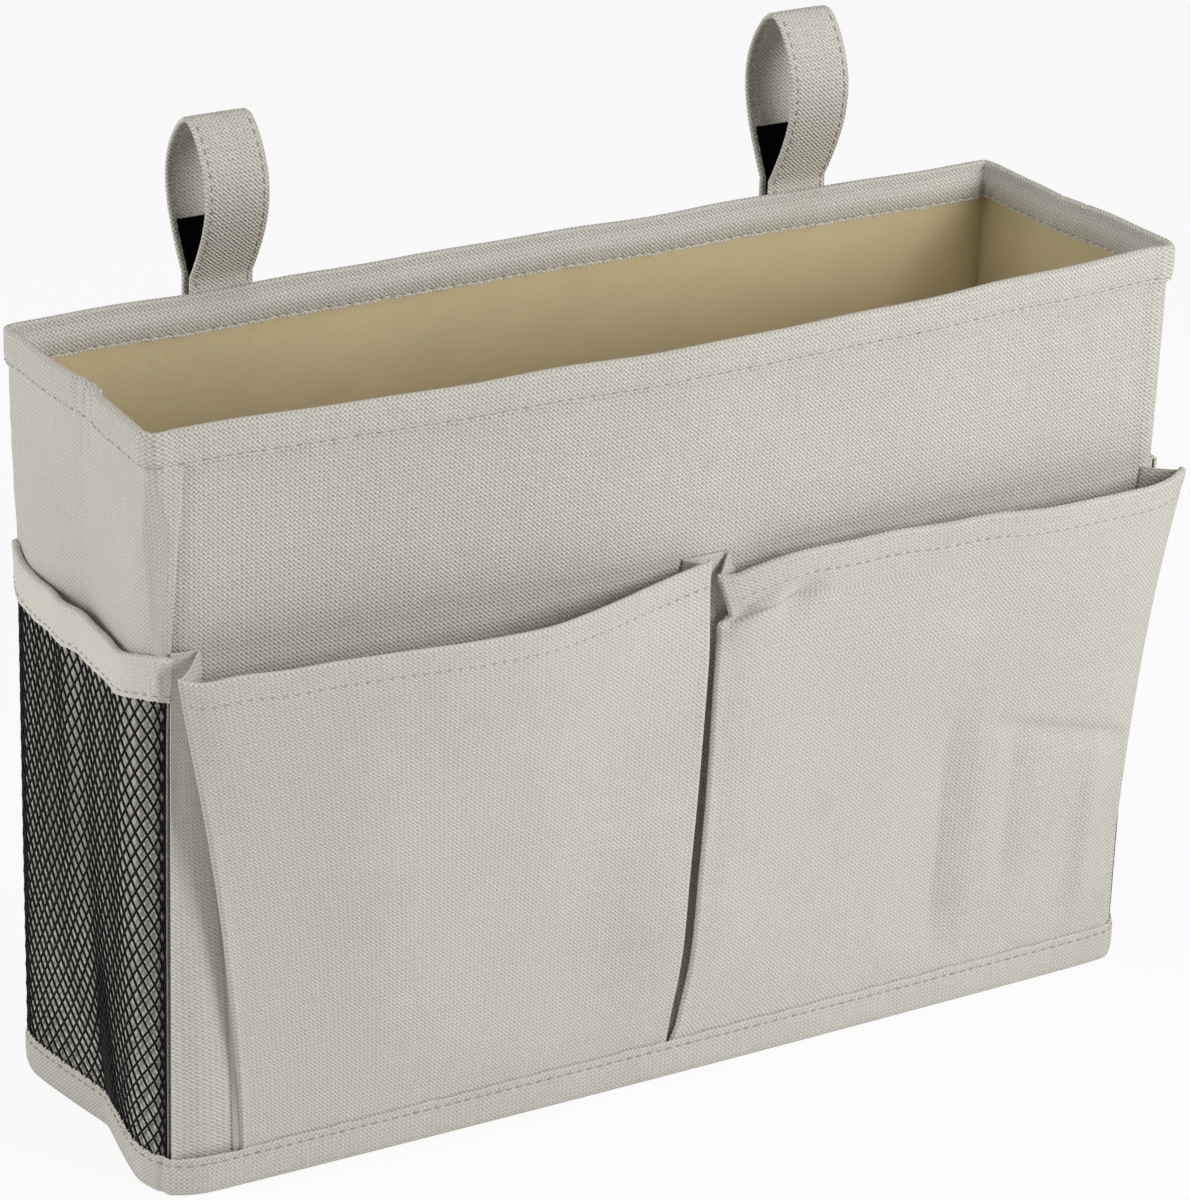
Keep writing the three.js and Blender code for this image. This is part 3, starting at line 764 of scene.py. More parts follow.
def stitch_recipe(material):
    """Rows of stitches along the edges of a mesh."""
    tree = Recipe("stitch_rows", {"Pitch": FLOAT, "Length": FLOAT, "Thread": FLOAT, "Seed": WHOLE})
    line = tree.node("GeometryNodeMeshToCurve", sockets={"Mesh": tree.input("Geometry")})
    even = tree.node(
        "GeometryNodeResampleCurve",
        {"mode": "LENGTH"},
        {"Curve": line.outputs[0], "Length": tree.input("Pitch")},
    )
    bead = tree.node("GeometryNodeMeshUVSphere", sockets={"Segments": 6, "Rings": 4, "Radius": 0.5})
    along = tree.node("GeometryNodeInputTangent")
    turn = tree.node("FunctionNodeAlignRotationToVector", {"axis": "Z"}, {"Vector": along.outputs[0]})
    uneven = tree.node(
        "FunctionNodeRandomValue",
        {"data_type": "FLOAT"},
        {2: STITCH_SHARES[0], 3: STITCH_SHARES[1], "Seed": tree.input("Seed")},
    )
    long = tree.node(
        "ShaderNodeMath", {"operation": "MULTIPLY"}, {0: tree.input("Length"), 1: uneven.outputs[1]}
    )
    scale = tree.node(
        "ShaderNodeCombineXYZ",
        sockets={"X": tree.input("Thread"), "Y": tree.input("Thread"), "Z": long.outputs[0]},
    )
    placed = tree.node(
        "GeometryNodeInstanceOnPoints",
        sockets={
            "Points": even.outputs[0],
            "Instance": bead.outputs[0],
            "Rotation": turn.outputs[0],
            "Scale": scale.outputs[0],
        },
    )
    tree.finish(placed.outputs[0], material)
    return tree


def net_recipe(material):
    """Net strands along the edges of a mesh, with a knot at each crossing."""
    tree = Recipe("net_strands", {"Strand": FLOAT, "Knot": FLOAT})
    line = tree.node("GeometryNodeMeshToCurve", sockets={"Mesh": tree.input("Geometry")})
    round_ = tree.node(
        "GeometryNodeCurvePrimitiveCircle", sockets={"Resolution": 5, "Radius": tree.input("Strand")}
    )
    strand = tree.node(
        "GeometryNodeCurveToMesh",
        sockets={"Curve": line.outputs[0], "Profile Curve": round_.outputs[0], "Fill Caps": True},
    )
    knot = tree.node("GeometryNodeMeshIcoSphere", sockets={"Radius": tree.input("Knot"), "Subdivisions": 1})
    knots = tree.node(
        "GeometryNodeInstanceOnPoints",
        sockets={"Points": tree.input("Geometry"), "Instance": knot.outputs[0]},
    )
    both = tree.node("GeometryNodeJoinGeometry")
    tree.tree.links.new(strand.outputs[0], both.inputs[0])
    tree.tree.links.new(knots.outputs[0], both.inputs[0])
    tree.finish(both.outputs[0], material)
    return tree


def pile_recipe(material):
    """Short bristles all over a mesh, leaning a little."""
    inputs = {"Spacing": FLOAT, "Density": FLOAT, "Bristle": FLOAT, "Height": FLOAT, "Seed": WHOLE}
    tree = Recipe("tape_pile", inputs)
    spread = tree.node(
        "GeometryNodeDistributePointsOnFaces",
        {"distribute_method": "POISSON"},
        {
            "Mesh": tree.input("Geometry"),
            "Distance Min": tree.input("Spacing"),
            "Density Max": tree.input("Density"),
            "Seed": tree.input("Seed"),
        },
    )
    bristle = tree.node(
        "GeometryNodeMeshCone",
        sockets={
            "Vertices": 5,
            "Radius Top": BRISTLE_TIP,
            "Radius Bottom": tree.input("Bristle"),
            "Depth": tree.input("Height"),
        },
    )
    lean = tree.node(
        "FunctionNodeRandomValue",
        {"data_type": "FLOAT_VECTOR"},
        {0: BRISTLE_TURNS[0], 1: BRISTLE_TURNS[1], "Seed": tree.input("Seed")},
    )
    turn = tree.node(
        "FunctionNodeRotateRotation",
        {"rotation_space": "LOCAL"},
        {"Rotation": spread.outputs["Rotation"], "Rotate By": lean.outputs[0]},
    )
    placed = tree.node(
        "GeometryNodeInstanceOnPoints",
        sockets={
            "Points": spread.outputs["Points"],
            "Instance": bristle.outputs[0],
            "Rotation": turn.outputs[0],
        },
    )
    tree.finish(placed.outputs[0], material)
    return tree


def path_mesh(paths, closed):
    """A mesh of edges along paths of points in millimetres."""
    points, edges = [], []
    for path, ring in zip(paths, closed):
        first = len(points)
        points.extend((np.asarray(path) * MM).tolist())
        edges.extend((k, k + 1) for k in range(first, len(points) - 1))
        if ring:
            edges.append((len(points) - 1, first))
    mesh = bpy.data.meshes.new("path")
    mesh.from_pydata(points, edges, [])
    return mesh


def sew(name, paths, closed=None, seed=1):
    """One object of stitch rows."""
    size = bpy.context.scene.caddy_sizes
    recipe = stitch_recipe(finishes(bpy.context.scene)["sewing_thread"])
    values = {
        "Pitch": size.stitch_pitch,
        "Length": size.stitch_length,
        "Thread": size.thread,
        "Seed": seed,
    }
    made = recipe.run(name, path_mesh(paths, closed or [False] * len(paths)), values)
    return made


def settle(piece, slot, *nodes, body="body"):
    """Puts a finished piece on its body, in place of its CAD nodes. The slot is not used."""
    if body:
        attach(piece, body)
    if nodes:
        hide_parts(*nodes)


def rows_and_columns(rows, columns):
    """Heights and ways across, as two grids."""
    return np.meshgrid(rows, columns, indexing="ij")


# Lamps: strength among the stage's properties, size and place in metres.
LAMPS = {
    "key_light": ("key", 0.5, (0.5, -1.0, 0.62)),
    "fill_light": ("fill", 0.7, (-1.45, 0.3, 0.5)),
    "top_light": ("top", 1.0, (0.1, -0.2, 1.7)),
}
LAMP_TARGET = (0, 0, 0.13)
FLOOR_HALF = 3.0
FLOOR_GREY = (0.94, 0.94, 0.94, 1.0)
FLOOR_GLOW = 0.9


def seen_directly(tree):
    """1 for rays from the camera and in reflections, 0 for light that bounces."""
    path = add_node(tree, "ShaderNodeLightPath")
    seen = Signal(tree, path.outputs["Is Camera Ray"])
    for output in ("Is Glossy Ray", "Is Transmission Ray"):
        seen = seen.math("MAXIMUM", seen, Signal(tree, path.outputs[output]))
    return seen


class CADDY_OT_stage(bpy.types.Operator):
    """Floor, light and a camera at the photograph's angle"""

    bl_idname = "caddy.stage"
    bl_label = "Stage"

    def execute(self, context):
        stage = context.scene.caddy_stage
        context.scene.view_settings.view_transform = "Standard"
        self.camera(context.scene, stage)
        self.floor()
        self.world(context.scene, stage)
        for name, (power, size, place) in LAMPS.items():
            self.lamp(name, getattr(stage, power), size, place)
        return {"FINISHED"}

    def camera(self, scene, stage):
        """A camera that sees the caddy as the photograph does."""
        a, e = stage.azimuth, stage.elevation
        back = Vector((math.sin(a) * math.cos(e), -math.cos(a) * math.cos(e), math.sin(e)))
        right = Vector((0, 0, 1)).cross(back).normalized()
        up = back.cross(right)
        right, up = (
            math.cos(stage.roll) * right + math.sin(stage.roll) * up,
            math.cos(stage.roll) * up - math.sin(stage.roll) * right,
        )
        data = bpy.data.cameras.new("camera")
        data.sensor_width = SENSOR
        data.lens = stage.focal / max(PHOTO_WIDTH, PHOTO_HEIGHT) * SENSOR
        data.clip_start, data.clip_end = 0.05, 20.0
        made = new_object("camera", data)
        turn = Matrix((right, up, back)).transposed().to_4x4()
        made.matrix_world = Matrix.Translation(Vector(stage.target) + stage.distance * back) @ turn
        scene.camera = made

    def floor(self):
        """A pale floor that looks white and still takes a faint shadow."""
        half = FLOOR_HALF
        mesh = bpy.data.meshes.new("floor")
        corners = [(-half, -half, 0), (half, -half, 0), (half, half, 0), (-half, half, 0)]
        mesh.from_pydata(corners, [], [(0, 1, 2, 3)])
        material = bpy.data.materials.new("pale_floor")
        material.use_nodes = True
        tree = material.node_tree
        tree.nodes.clear()
        seen = seen_directly(tree)
        lit = add_node(tree, "ShaderNodeBsdfDiffuse", sockets={"Color": FLOOR_GREY})
        white = add_node(tree, "ShaderNodeEmission", sockets={"Color": WHITE, "Strength": 1.0})
        sockets = {0: seen * FLOOR_GLOW, 1: lit.outputs[0], 2: white.outputs[0]}
        mix = add_node(tree, "ShaderNodeMixShader", sockets=sockets)
        add_node(tree, "ShaderNodeOutputMaterial", sockets={"Surface": mix.outputs[0]})
        mesh.materials.append(material)
        new_object("floor", mesh)

    def world(self, scene, stage):
        """White surroundings that give only a little light."""
        world = bpy.data.worlds.new("studio")
        world.use_nodes = True
        tree = world.node_tree
        tree.nodes.clear()
        seen = seen_directly(tree)
        bright = seen * (1.0 - stage.ambient) + stage.ambient
        light = add_node(tree, "ShaderNodeBackground", sockets={"Color": WHITE, "Strength": bright})
        add_node(tree, "ShaderNodeOutputWorld", sockets={"Surface": light.outputs[0]})
        scene.world = world

    def lamp(self, name, power, size, place):
        """A soft square lamp that faces the caddy."""
        data = bpy.data.lights.new(name, "AREA")
        data.energy = power
        data.size = size
        made = new_object(name, data)
        away = Vector(place) - Vector(LAMP_TARGET)
        made.matrix_world = Matrix.Translation(place) @ away.to_track_quat("Z", "Y").to_matrix().to_4x4()


# How far inside the box's width the front and back end, how far the edge of a side's lap stands off the box,
# and the same for the right side's edge under the front.
WALL_INSET = 3.5
LAP_OUT = 0.8
UNDER_OUT = -0.95
# Heights of the bottom cloth's two faces, and how far it ends inside the box.
BOTTOM_FACES = (0.74, 1.06)
BOTTOM_OUT = -0.8


def wall_heights(box):
    """Heights of the rows of an outer panel, from under the base binding to under the rim hem."""
    return np.linspace(0.9, box.height - 1.4, 84)


class CADDY_OT_outer_panels(bpy.types.Operator):
    """Front, back, sides and bottom of the outer cloth"""

    bl_idname = "caddy.outer_panels"
    bl_label = "Outer panels"

    def execute(self, context):
        size = context.scene.caddy_sizes
        box = SoftBox(size)
        cloth = mm(size.cloth)
        made = finishes(context.scene)
        finish = made["oxford_cloth"]
        self.wall(box, cloth, finish, "front_panel", box.on_front, 1)
        self.wall(box, cloth, finish, "back_panel", box.on_back, -1)
        z, t = rows_and_columns(wall_heights(box), np.linspace(0, 1, 190))
        seam = box.seam(z)
        left = box.on_back(-seam) - box.girth, box.on_front(-seam), LAP_OUT
        right = box.on_front(box.half_width + RIGHT_TURN - 3), box.on_back(seam), UNDER_OUT
        for side, (start, end, lap_lift) in (("left", left), ("right", right)):
            s = start + (end - start) * t
            lift = LAP_OUT * (1 - smooth(end - s, 1.5, 9)) + lap_lift * (1 - smooth(s - start, 1.5, 9))
            lift = lift - 0.25 * (1 - smooth(np.minimum(s - start, end - s), 0, 0.6))
            uv = np.stack([s, z], -1)
            piece = laid_cloth(f"{side}_side_cloth", box, s, z, lift, cloth, uv, made["pocket_cloth"])
            settle(piece, "outer_cloth", f"{side}_side_panel")
            width = float((end - start).mean()) * MM
        s = np.linspace(0, box.girth, 400, endpoint=False)
        loops = np.stack([box.place(s, z, BOTTOM_OUT) for z in BOTTOM_FACES])
        loops[..., 2] = np.array(BOTTOM_FACES)[:, None]
        bottom = slab_object("bottom_cloth", loops, finish)
        settle(bottom, "outer_cloth", "bottom_panel")
        return {"FINISHED"}

    def wall(self, box, cloth, finish, name, along, sign):
        """The front (sign 1) or the back (sign -1)."""
        edge = box.half_width - WALL_INSET
        far = edge if sign < 0 else box.half_width + RIGHT_TURN
        z, x = rows_and_columns(wall_heights(box), sign * np.linspace(-edge, far, 160))
        dip = -0.25 - 0.75 * smooth(np.abs(x), box.seam(z) - 2.6, box.seam(z) - 0.4)
        if sign > 0:
            dip = np.where(x > 0, -0.25, dip)
        uv = np.stack([sign * x, z], -1)
        piece = laid_cloth(name.replace("panel", "cloth"), box, along(x), z, dip, cloth, uv, finish)
        settle(piece, "outer_cloth", name)
        2 * edge * MM
        box.height * MM


# How far out of the soft box the stiffener boards lie, and the lining on the walls and on the sides.
BOARD_OUT = -1.35
LINING_OUT = (-2.75, -1.15)
# The loose board: radius of its corners, and its edge's profile as insets and shares of its thickness.
BOARD_CORNER = 6.0
BOARD_PROFILE = ((1.2, 0), (0.35, 0.12), (0, 0.4), (0, 0.65), (0.35, 0.92), (1.4, 1.0), (5.0, 1.06))


class CADDY_OT_lining(bpy.types.Operator):
    """Lining bag, stiffener boards and the loose base board"""

    bl_idname = "caddy.lining"
    bl_label = "Lining and boards"

    def execute(self, context):
        size = context.scene.caddy_sizes
        box = SoftBox(size)
        made = finishes(context.scene)
        s = np.linspace(0, box.girth, 420, endpoint=False)
        z, s = rows_and_columns(np.linspace(1.3, box.height - 7, 60), s)
        loose = 0.45 * (1 + ripple(s / box.girth + z / 1400, LINING_WAVES))
        loose = loose * smooth(z, 4, 40) * smooth(box.height - z, 6, 40)
        out = box.by_wall(s, *LINING_OUT) - loose
        uv_s = np.linspace(0, box.girth, s.shape[1] + 1)
        uv = np.stack(np.meshgrid(uv_s, z[:, 0]), -1)
        thin = mm(size.lining)
        bag = laid_cloth("lining_bag", box, s, z, out, thin, uv, made["khaki_lining"], ring=True)
        nodes = ["front_lining", "back_lining", "left_side_lining", "right_side_lining"]
        settle(bag, "lining_cloth", *nodes)
        for name, along in (("front_stiffener", box.on_front), ("back_stiffener", box.on_back)):
            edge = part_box(name)[1].x / MM
            z, x = rows_and_columns(np.linspace(3, box.height - 7, 40), np.linspace(-edge, edge, 60))
            uv = np.stack([x, z], -1)
            thick = mm(size.board)
            title = name.replace("stiffener", "board")
            board = laid_cloth(title, box, along(x), z, BOARD_OUT, thick, uv, made["fibre_board"])
            settle(board, "stiffener_board", name)
        self.base_board(made["khaki_lining"])
        return {"FINISHED"}

    def base_board(self, finish):
        """A stiff board in lining cloth, with rounded edges and a slightly raised middle."""
        low, high = (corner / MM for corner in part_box("base_board"))
        angles = np.radians(np.arange(0, 360, 6.0))
        corner_x = np.where(np.cos(angles) > 0, 1, -1) * (high.x - BOARD_CORNER)
        corner_y = np.where(np.sin(angles) > 0, 1, -1) * (high.y - BOARD_CORNER)
        thick = high.z - low.z
        loops = []
        for inset, share in BOARD_PROFILE:
            x = corner_x + np.cos(angles) * BOARD_CORNER - np.sign(corner_x) * inset
            y = corner_y + np.sin(angles) * BOARD_CORNER - np.sign(corner_y) * inset
            loops.append(np.stack([x, y, np.full_like(x, low.z + share * thick)], -1))
        board = slab_object("floor_cloth", np.array(loops), finish)
        settle(board, "base_board_cover", "base_board", body="floor_board")


# Rows of stitches: a share of the base binding's height, millimetres above the lower edge of the rim hem,
# of a pocket's hem and of a net's binding, and millimetres in from a strap's edge.
BINDING_STITCH = 0.82
HEM_STITCH = 1.0
POCKET_STITCH = 1.2
NET_STITCH = 1.6
STRAP_STITCH = 1.8
SIDES = (("left", -1), ("right", 1))
# The rim hem: how far its outer leaf stands off the box, how far its inner leaf lies inside on the walls and
# on the sides, and how far below the rim its fold starts.
HEM_OUT = 0.7
HEM_INSIDE = (3.95, 2.35)
HEM_FOLD = 0.9
# The base binding's rows as shares of its height, and its turn under the base as steps out and heights.
BINDING_ROWS = (1.0, 0.97, 0.92, 0.87, 0.82, 0.77, 0.72, 0.6, 0.42, 0.26, 0.15)
BINDING_TURN = ((-0.15, 0.75), (-0.8, 0.37), (-3.0, 0.36), (-9.0, 0.36))
BINDING_FULL = 0.4


def binding_out(box, s):
    """How far the base binding stands off the cloth, more in front, where it closes over the pockets."""
    x, _, _, ny = box.plain(s)
    return 0.75 + 1.6 * np.clip(-ny, 0, 1) ** 2 * (1 - smooth(np.abs(x), 159, 165))


def hem_inside(box, s):
    """How far inside the soft box the rim hem's inner leaf lies."""
    return box.by_wall(s, *HEM_INSIDE)


def hem_rows(top, foot, stitch):
    """Heights up one leaf of a folded tape, close together about its stitch row."""
    near = [foot, foot + 0.3, stitch - 0.35, stitch, stitch + 0.6]
    return np.concatenate([near, np.linspace(stitch + 2, top, 7)])


class CADDY_OT_edge_tapes(bpy.types.Operator):
    """Hem folded over the rim and binding round the base"""

    bl_idname = "caddy.edge_tapes"
    bl_label = "Rim hem and base binding"

    def execute(self, context):
        size = context.scene.caddy_sizes
        box = SoftBox(size)
        made = finishes(context.scene)
        self.rim(box, size, made["oxford_cloth"])
        self.base(box, size, made["pocket_cloth"])
        return {"FINISHED"}

    def rim(self, box, size, finish):
        """The hem: up the outside, over the rim and down the inside."""
        cloth = mm(size.cloth)
        foot = box.height - mm(size.hem)
        s = box.stations(900)
        turn = s / box.girth
        out = HEM_OUT + cloth / 2
        back = -hem_inside(box, s)
        thin = -box.by_wall(s, 1.3, 1.0)
        uneven = 0.3 * ripple(turn, BASE_WAVES)
        stitch = foot + HEM_STITCH
        up = hem_rows(box.height - HEM_FOLD, foot, stitch)
        path = []
        for z in up:
            pucker = 0.22 * ripple(turn, PUCKER_WAVES) * bell(z - stitch, 2.4)
            dip = 0.22 * bell(z - stitch, 0.5) + 0.3 * (1 - smooth(z, foot, foot + 2.5))
            lower = uneven * (1 - smooth(z, foot, foot + 3))
            path.append((out + pucker - dip, z + lower))
        for bend in np.radians((25, 50, 75, 90, 105, 130, 155)):
            share = (1 - np.cos(bend)) / 2
            path.append((out + (thin - out) * share, box.height - HEM_FOLD + 0.95 * np.sin(bend)))
        for z in up[::-1]:
            pucker = 0.22 * ripple(turn + 0.37, PUCKER_WAVES) * bell(z - stitch, 2.4)
            dip = 0.35 * bell(z - stitch, 0.5)
            lower = uneven * (1 - smooth(z, foot, foot + 3))
            leaf = back + (thin - back) * smooth(z, box.height - 6, box.height - 1.2)
            path.append((leaf - pucker + dip, z + lower))
        piece = self.tape(box, "rim_hem", s, path, cloth, finish)
        nodes = [f"{side}_rim_hem" for side in ("front", "back", "left", "right")]
        settle(piece, "outer_cloth", *nodes)

    def base(self, box, size, finish):
        """The binding: down the outside and in under the base."""
        cloth = mm(size.cloth)
        top = mm(size.binding)
        s = box.stations(900)
        turn = s / box.girth
        over = binding_out(box, s) + cloth / 2
        uneven = 0.35 * ripple(turn, RIM_WAVES)
        path = []
        for share in BINDING_ROWS:
            z = share * top
            pucker = 0.18 * ripple(turn, PUCKER_WAVES) * bell(z - BINDING_STITCH * top, 2.4)
            dip = 0.3 * bell(z - BINDING_STITCH * top, 0.6)
            full = BINDING_FULL * np.sin(np.pi * share) - 0.3 * smooth(share, 0.94, 1.0)
            edge = uneven * smooth(z, 0.7 * top, top)
            path.append((over + pucker - dip + full, z + edge))
        for out, z in BINDING_TURN:
            path.append((over + out, z))
        piece = self.tape(box, "base_tape", s, path, cloth, finish)
        settle(piece, "outer_cloth", "base_binding")

    def tape(self, box, name, s, path, cloth, finish):
        """A ring of tape whose cross-section's middle line is the path."""
        out = np.array([np.broadcast_to(p[0], s.shape) for p in path])
        z = np.array([np.broadcast_to(p[1], s.shape) for p in path])
        step_out, step_z = np.gradient(out, axis=0), np.gradient(z, axis=0)
        size = np.maximum(np.hypot(step_out, step_z), 1e-6)
        side_out, side_z = step_z / size * cloth / 2, -step_out / size * cloth / 2
        if name == "base_tape":
            side_out, side_z = -side_out, -side_z
        way = np.broadcast_to(s, z.shape)
        outer = box.place(way, z + side_z, out + side_out)
        inner = box.place(way, z - side_z, out - side_out)
        width = running(np.hypot(np.diff(out, axis=0), np.diff(z, axis=0)).mean(1))
        uv = np.stack(np.meshgrid(np.append(s, box.girth), width), -1)
        return cloth_object(name, outer, inner, uv, finish, ring=True)


# The dark slot between the two pockets: its width at shares of the height, with a notch below the hem.
SLOT_HEIGHTS = (0, 0.045, 0.17, 0.4, 0.5, 0.85, 0.906, 0.916, 1.0)
SLOT_WIDTHS = (0.8, 2.9, 3.5, 3.8, 3.9, 3.4, 3.2, 7.4, 2.0)

# Along each pocket's mouth, from 0 at its left to 1: how far it stands off the front, and how far it hangs.
MOUTH_DEPTHS = {
    "left": (
        *((0, 13.5), (0.038, 15.2), (0.158, 17.5), (0.362, 22), (0.537, 24.6), (0.646, 24)),
        *((0.788, 18.1), (0.858, 14.2), (0.928, 11.2), (1.0, 9.4)),
    ),
    "right": (
        *((0, 7), (0.028, 8.6), (0.09, 11), (0.158, 12.2), (0.25, 12.4), (0.386, 12.6), (0.547, 14.1)),
        *((0.645, 15.3), (0.744, 15.6), (0.855, 15.2), (0.929, 14.4), (0.966, 12.4), (1, 9)),
    ),
}
MOUTH_DROPS = {
    "left": (
        *((0, -0.2), (0.015, 0.8), (0.1, 0.9), (0.19, 1.5), (0.25, 1.1), (0.4, 1.1), (0.54, 1.6)),
        *((0.66, 1.9), (0.75, 1.6), (0.84, 1.4), (0.94, 0.4), (1.0, -0.9)),
    ),
    "right": (
        *((0, 5.9), (0.024, 5.9), (0.05, 4.3), (0.083, 2.7), (0.146, 0.8), (0.2, 0.4), (0.25, 0.5)),
        *((0.354, 0.2), (0.44, 0.8), (0.57, 0.6), (0.64, 1.5), (0.78, 1.8), (0.93, 1.6), (1, 0.8)),
    ),
}


# How far a pocket's foot stands off the front.
FOOT_OUT = 1.75


class Pocket:
    """The soft front of a bellows pocket, in millimetres. u runs across it from left to right, v from its
    foot to its mouth."""

    def __init__(self, box, size, side):
        self.box = box
        self.side = side
        self.mouth = mm(size.pocket_mouth)
        self.foot = mm(size.binding) - 3.0
        self.stitch = self.mouth - mm(size.pocket_hem) + POCKET_STITCH
        self.left = side == "left"

    def height(self, v):
        """The height at a share of the pocket's own."""
        return self.foot + (self.mouth - self.foot) * v

    def bulge(self, v):
        """How far the pockets' edges beside the slot stand off the front, more than the rest."""
        return 4.5 * between(v, 0.03, 0.3, 0.7, 0.95)

    def slot(self, v):
        """Where the slot's left edge is: further left where it stands out, so that it looks straight."""
        return divider(self.height(v)) - 1.5 - 0.6 * self.bulge(v)

    def left_edge(self, v):
        """Where the cloth starts at the left, at a share of the height."""
        if self.left:
            return -139.5 - 24.5 * v**1.55
        return self.slot(v) + np.interp(v, SLOT_HEIGHTS, SLOT_WIDTHS)

    def right_edge(self, v):
        """Where the cloth ends at the right, at a share of the height."""
        if self.left:
            return self.slot(v) - 1.9 * smooth(v, 0.8, 1.0)
        return 161.0 + 10.5 * v**3.0

    def mouth_depth(self, u):
        """How far the mouth stands off the plain front."""
        return curve(u, MOUTH_DEPTHS[self.side])

    def mouth_drop(self, u):
        """How far the mouth hangs below its full height."""
        return curve(u, MOUTH_DROPS[self.side])

    def opening(self, v):
        """How much of the mouth's depth is reached at a height."""
        return np.clip(v, 0, 1) ** (1.25 if self.left else 1.15)

    def folds(self, x, z):
        """Small folds in the cloth, outwards."""
        if self.left:
            out = 0.7 * bell(x + 100 + 0.25 * (z - 90), 16) * between(z, 20, 70, 100, 150)
            out = out - 0.8 * bell(x + 28 - 0.12 * (z - 90), 12) * between(z, 20, 60, 110, 150)
            return out + 0.35 * np.sin(x / 13 + z / 29) * between(z, 12, 50, 130, 160)
        t = np.clip((x - 11) / 20, 0, 1)
        pinch = bell(z - (153.5 + 6 * t), 2.4) * between(x, 5, 10, 14, 36)
        ridge = bell(z - (147.5 + 7 * t), 2.6) * between(x, 8, 13, 20, 36)
        dimple = bell(x - 35 - 0.5 * (z - 153), 5.5) * bell(z - 153, 6)
        out = 1.1 * ridge - 2.0 * pinch - 3.0 * dimple
        out = out + 1.8 * bell(x - 148, 4.5) * between(z, 14, 34, 60, 86)
        out = out - 3.0 * valley(x - 94, 22, 11) * between(z, 14, 34, 78, 112)
        out = out - 1.5 * valley(x - 117, 8, 9) * between(z, 26, 50, 84, 97)
        out = out - 2.4 * valley(z - 94 + 0.29 * (x - 112), 7, 4) * between(x, 102, 122, 154, 160)
        return out + 0.5 * np.sin(x / 15 - z / 33 + 1) * between(z, 14, 50, 130, 160)

    def depth(self, u, v):
        """How far the cloth's middle stands off the plain front."""
        x = self.across(u, v)
        z = self.height(v)
        rest = self.box.front_rest(x, z)
        reach = self.mouth_depth(u) - FOOT_OUT - self.box.front_rest(x, self.mouth)
        inside = np.clip(np.minimum(u, 1 - u) / 0.03, 0, 1)
        beside = bell(1 - u if self.left else u, 0.16) * self.bulge(v)
        return FOOT_OUT + rest + reach * self.opening(v) + self.folds(x, z) * inside + beside

    def across(self, u, v):
        """Where a place lies between the two edges."""
        return self.left_edge(v) + (self.right_edge(v) - self.left_edge(v)) * u

    def place(self, u, v):
        """Points of the cloth's middle."""
        u, v = np.broadcast_arrays(u, v)
        z = self.height(v) - self.mouth_drop(u) * smooth(v, 0.72, 0.94)
        return np.stack([self.across(u, v), -self.box.half_depth - self.depth(u, v), z], -1)


# The share of a pocket's height above which its gussets step aside, and their thickness as a share of the
# cloth's.
TOP_SHARE = 0.86
PLEAT_THICKNESS = 0.8

# Each gusset: its seam on the front at foot and mouth, how far the seam steps aside at the very top, which
# way the pleat folds from the seam, its flat width at foot and mouth, how far the seam stands off the
# front, and how far the top stands above the mouth.
GUSSETS = {
    ("left", "outer"): (-159.8, -159.6, 0.0, 1, 22.6, 26.0, 1.9, 2.2),
    ("left", "inner"): (1.4, 8.5, 4.6, -1, 20.5, 20.5, -4.0, 1.0),
    ("right", "inner"): (1.6, 9.1, 3.6, 1, 20.5, 5.4, -4.0, 1.0),
    ("right", "outer"): (162.6, 162.8, 0.0, -1, 12.0, 12.6, 1.0, -1.4),
}


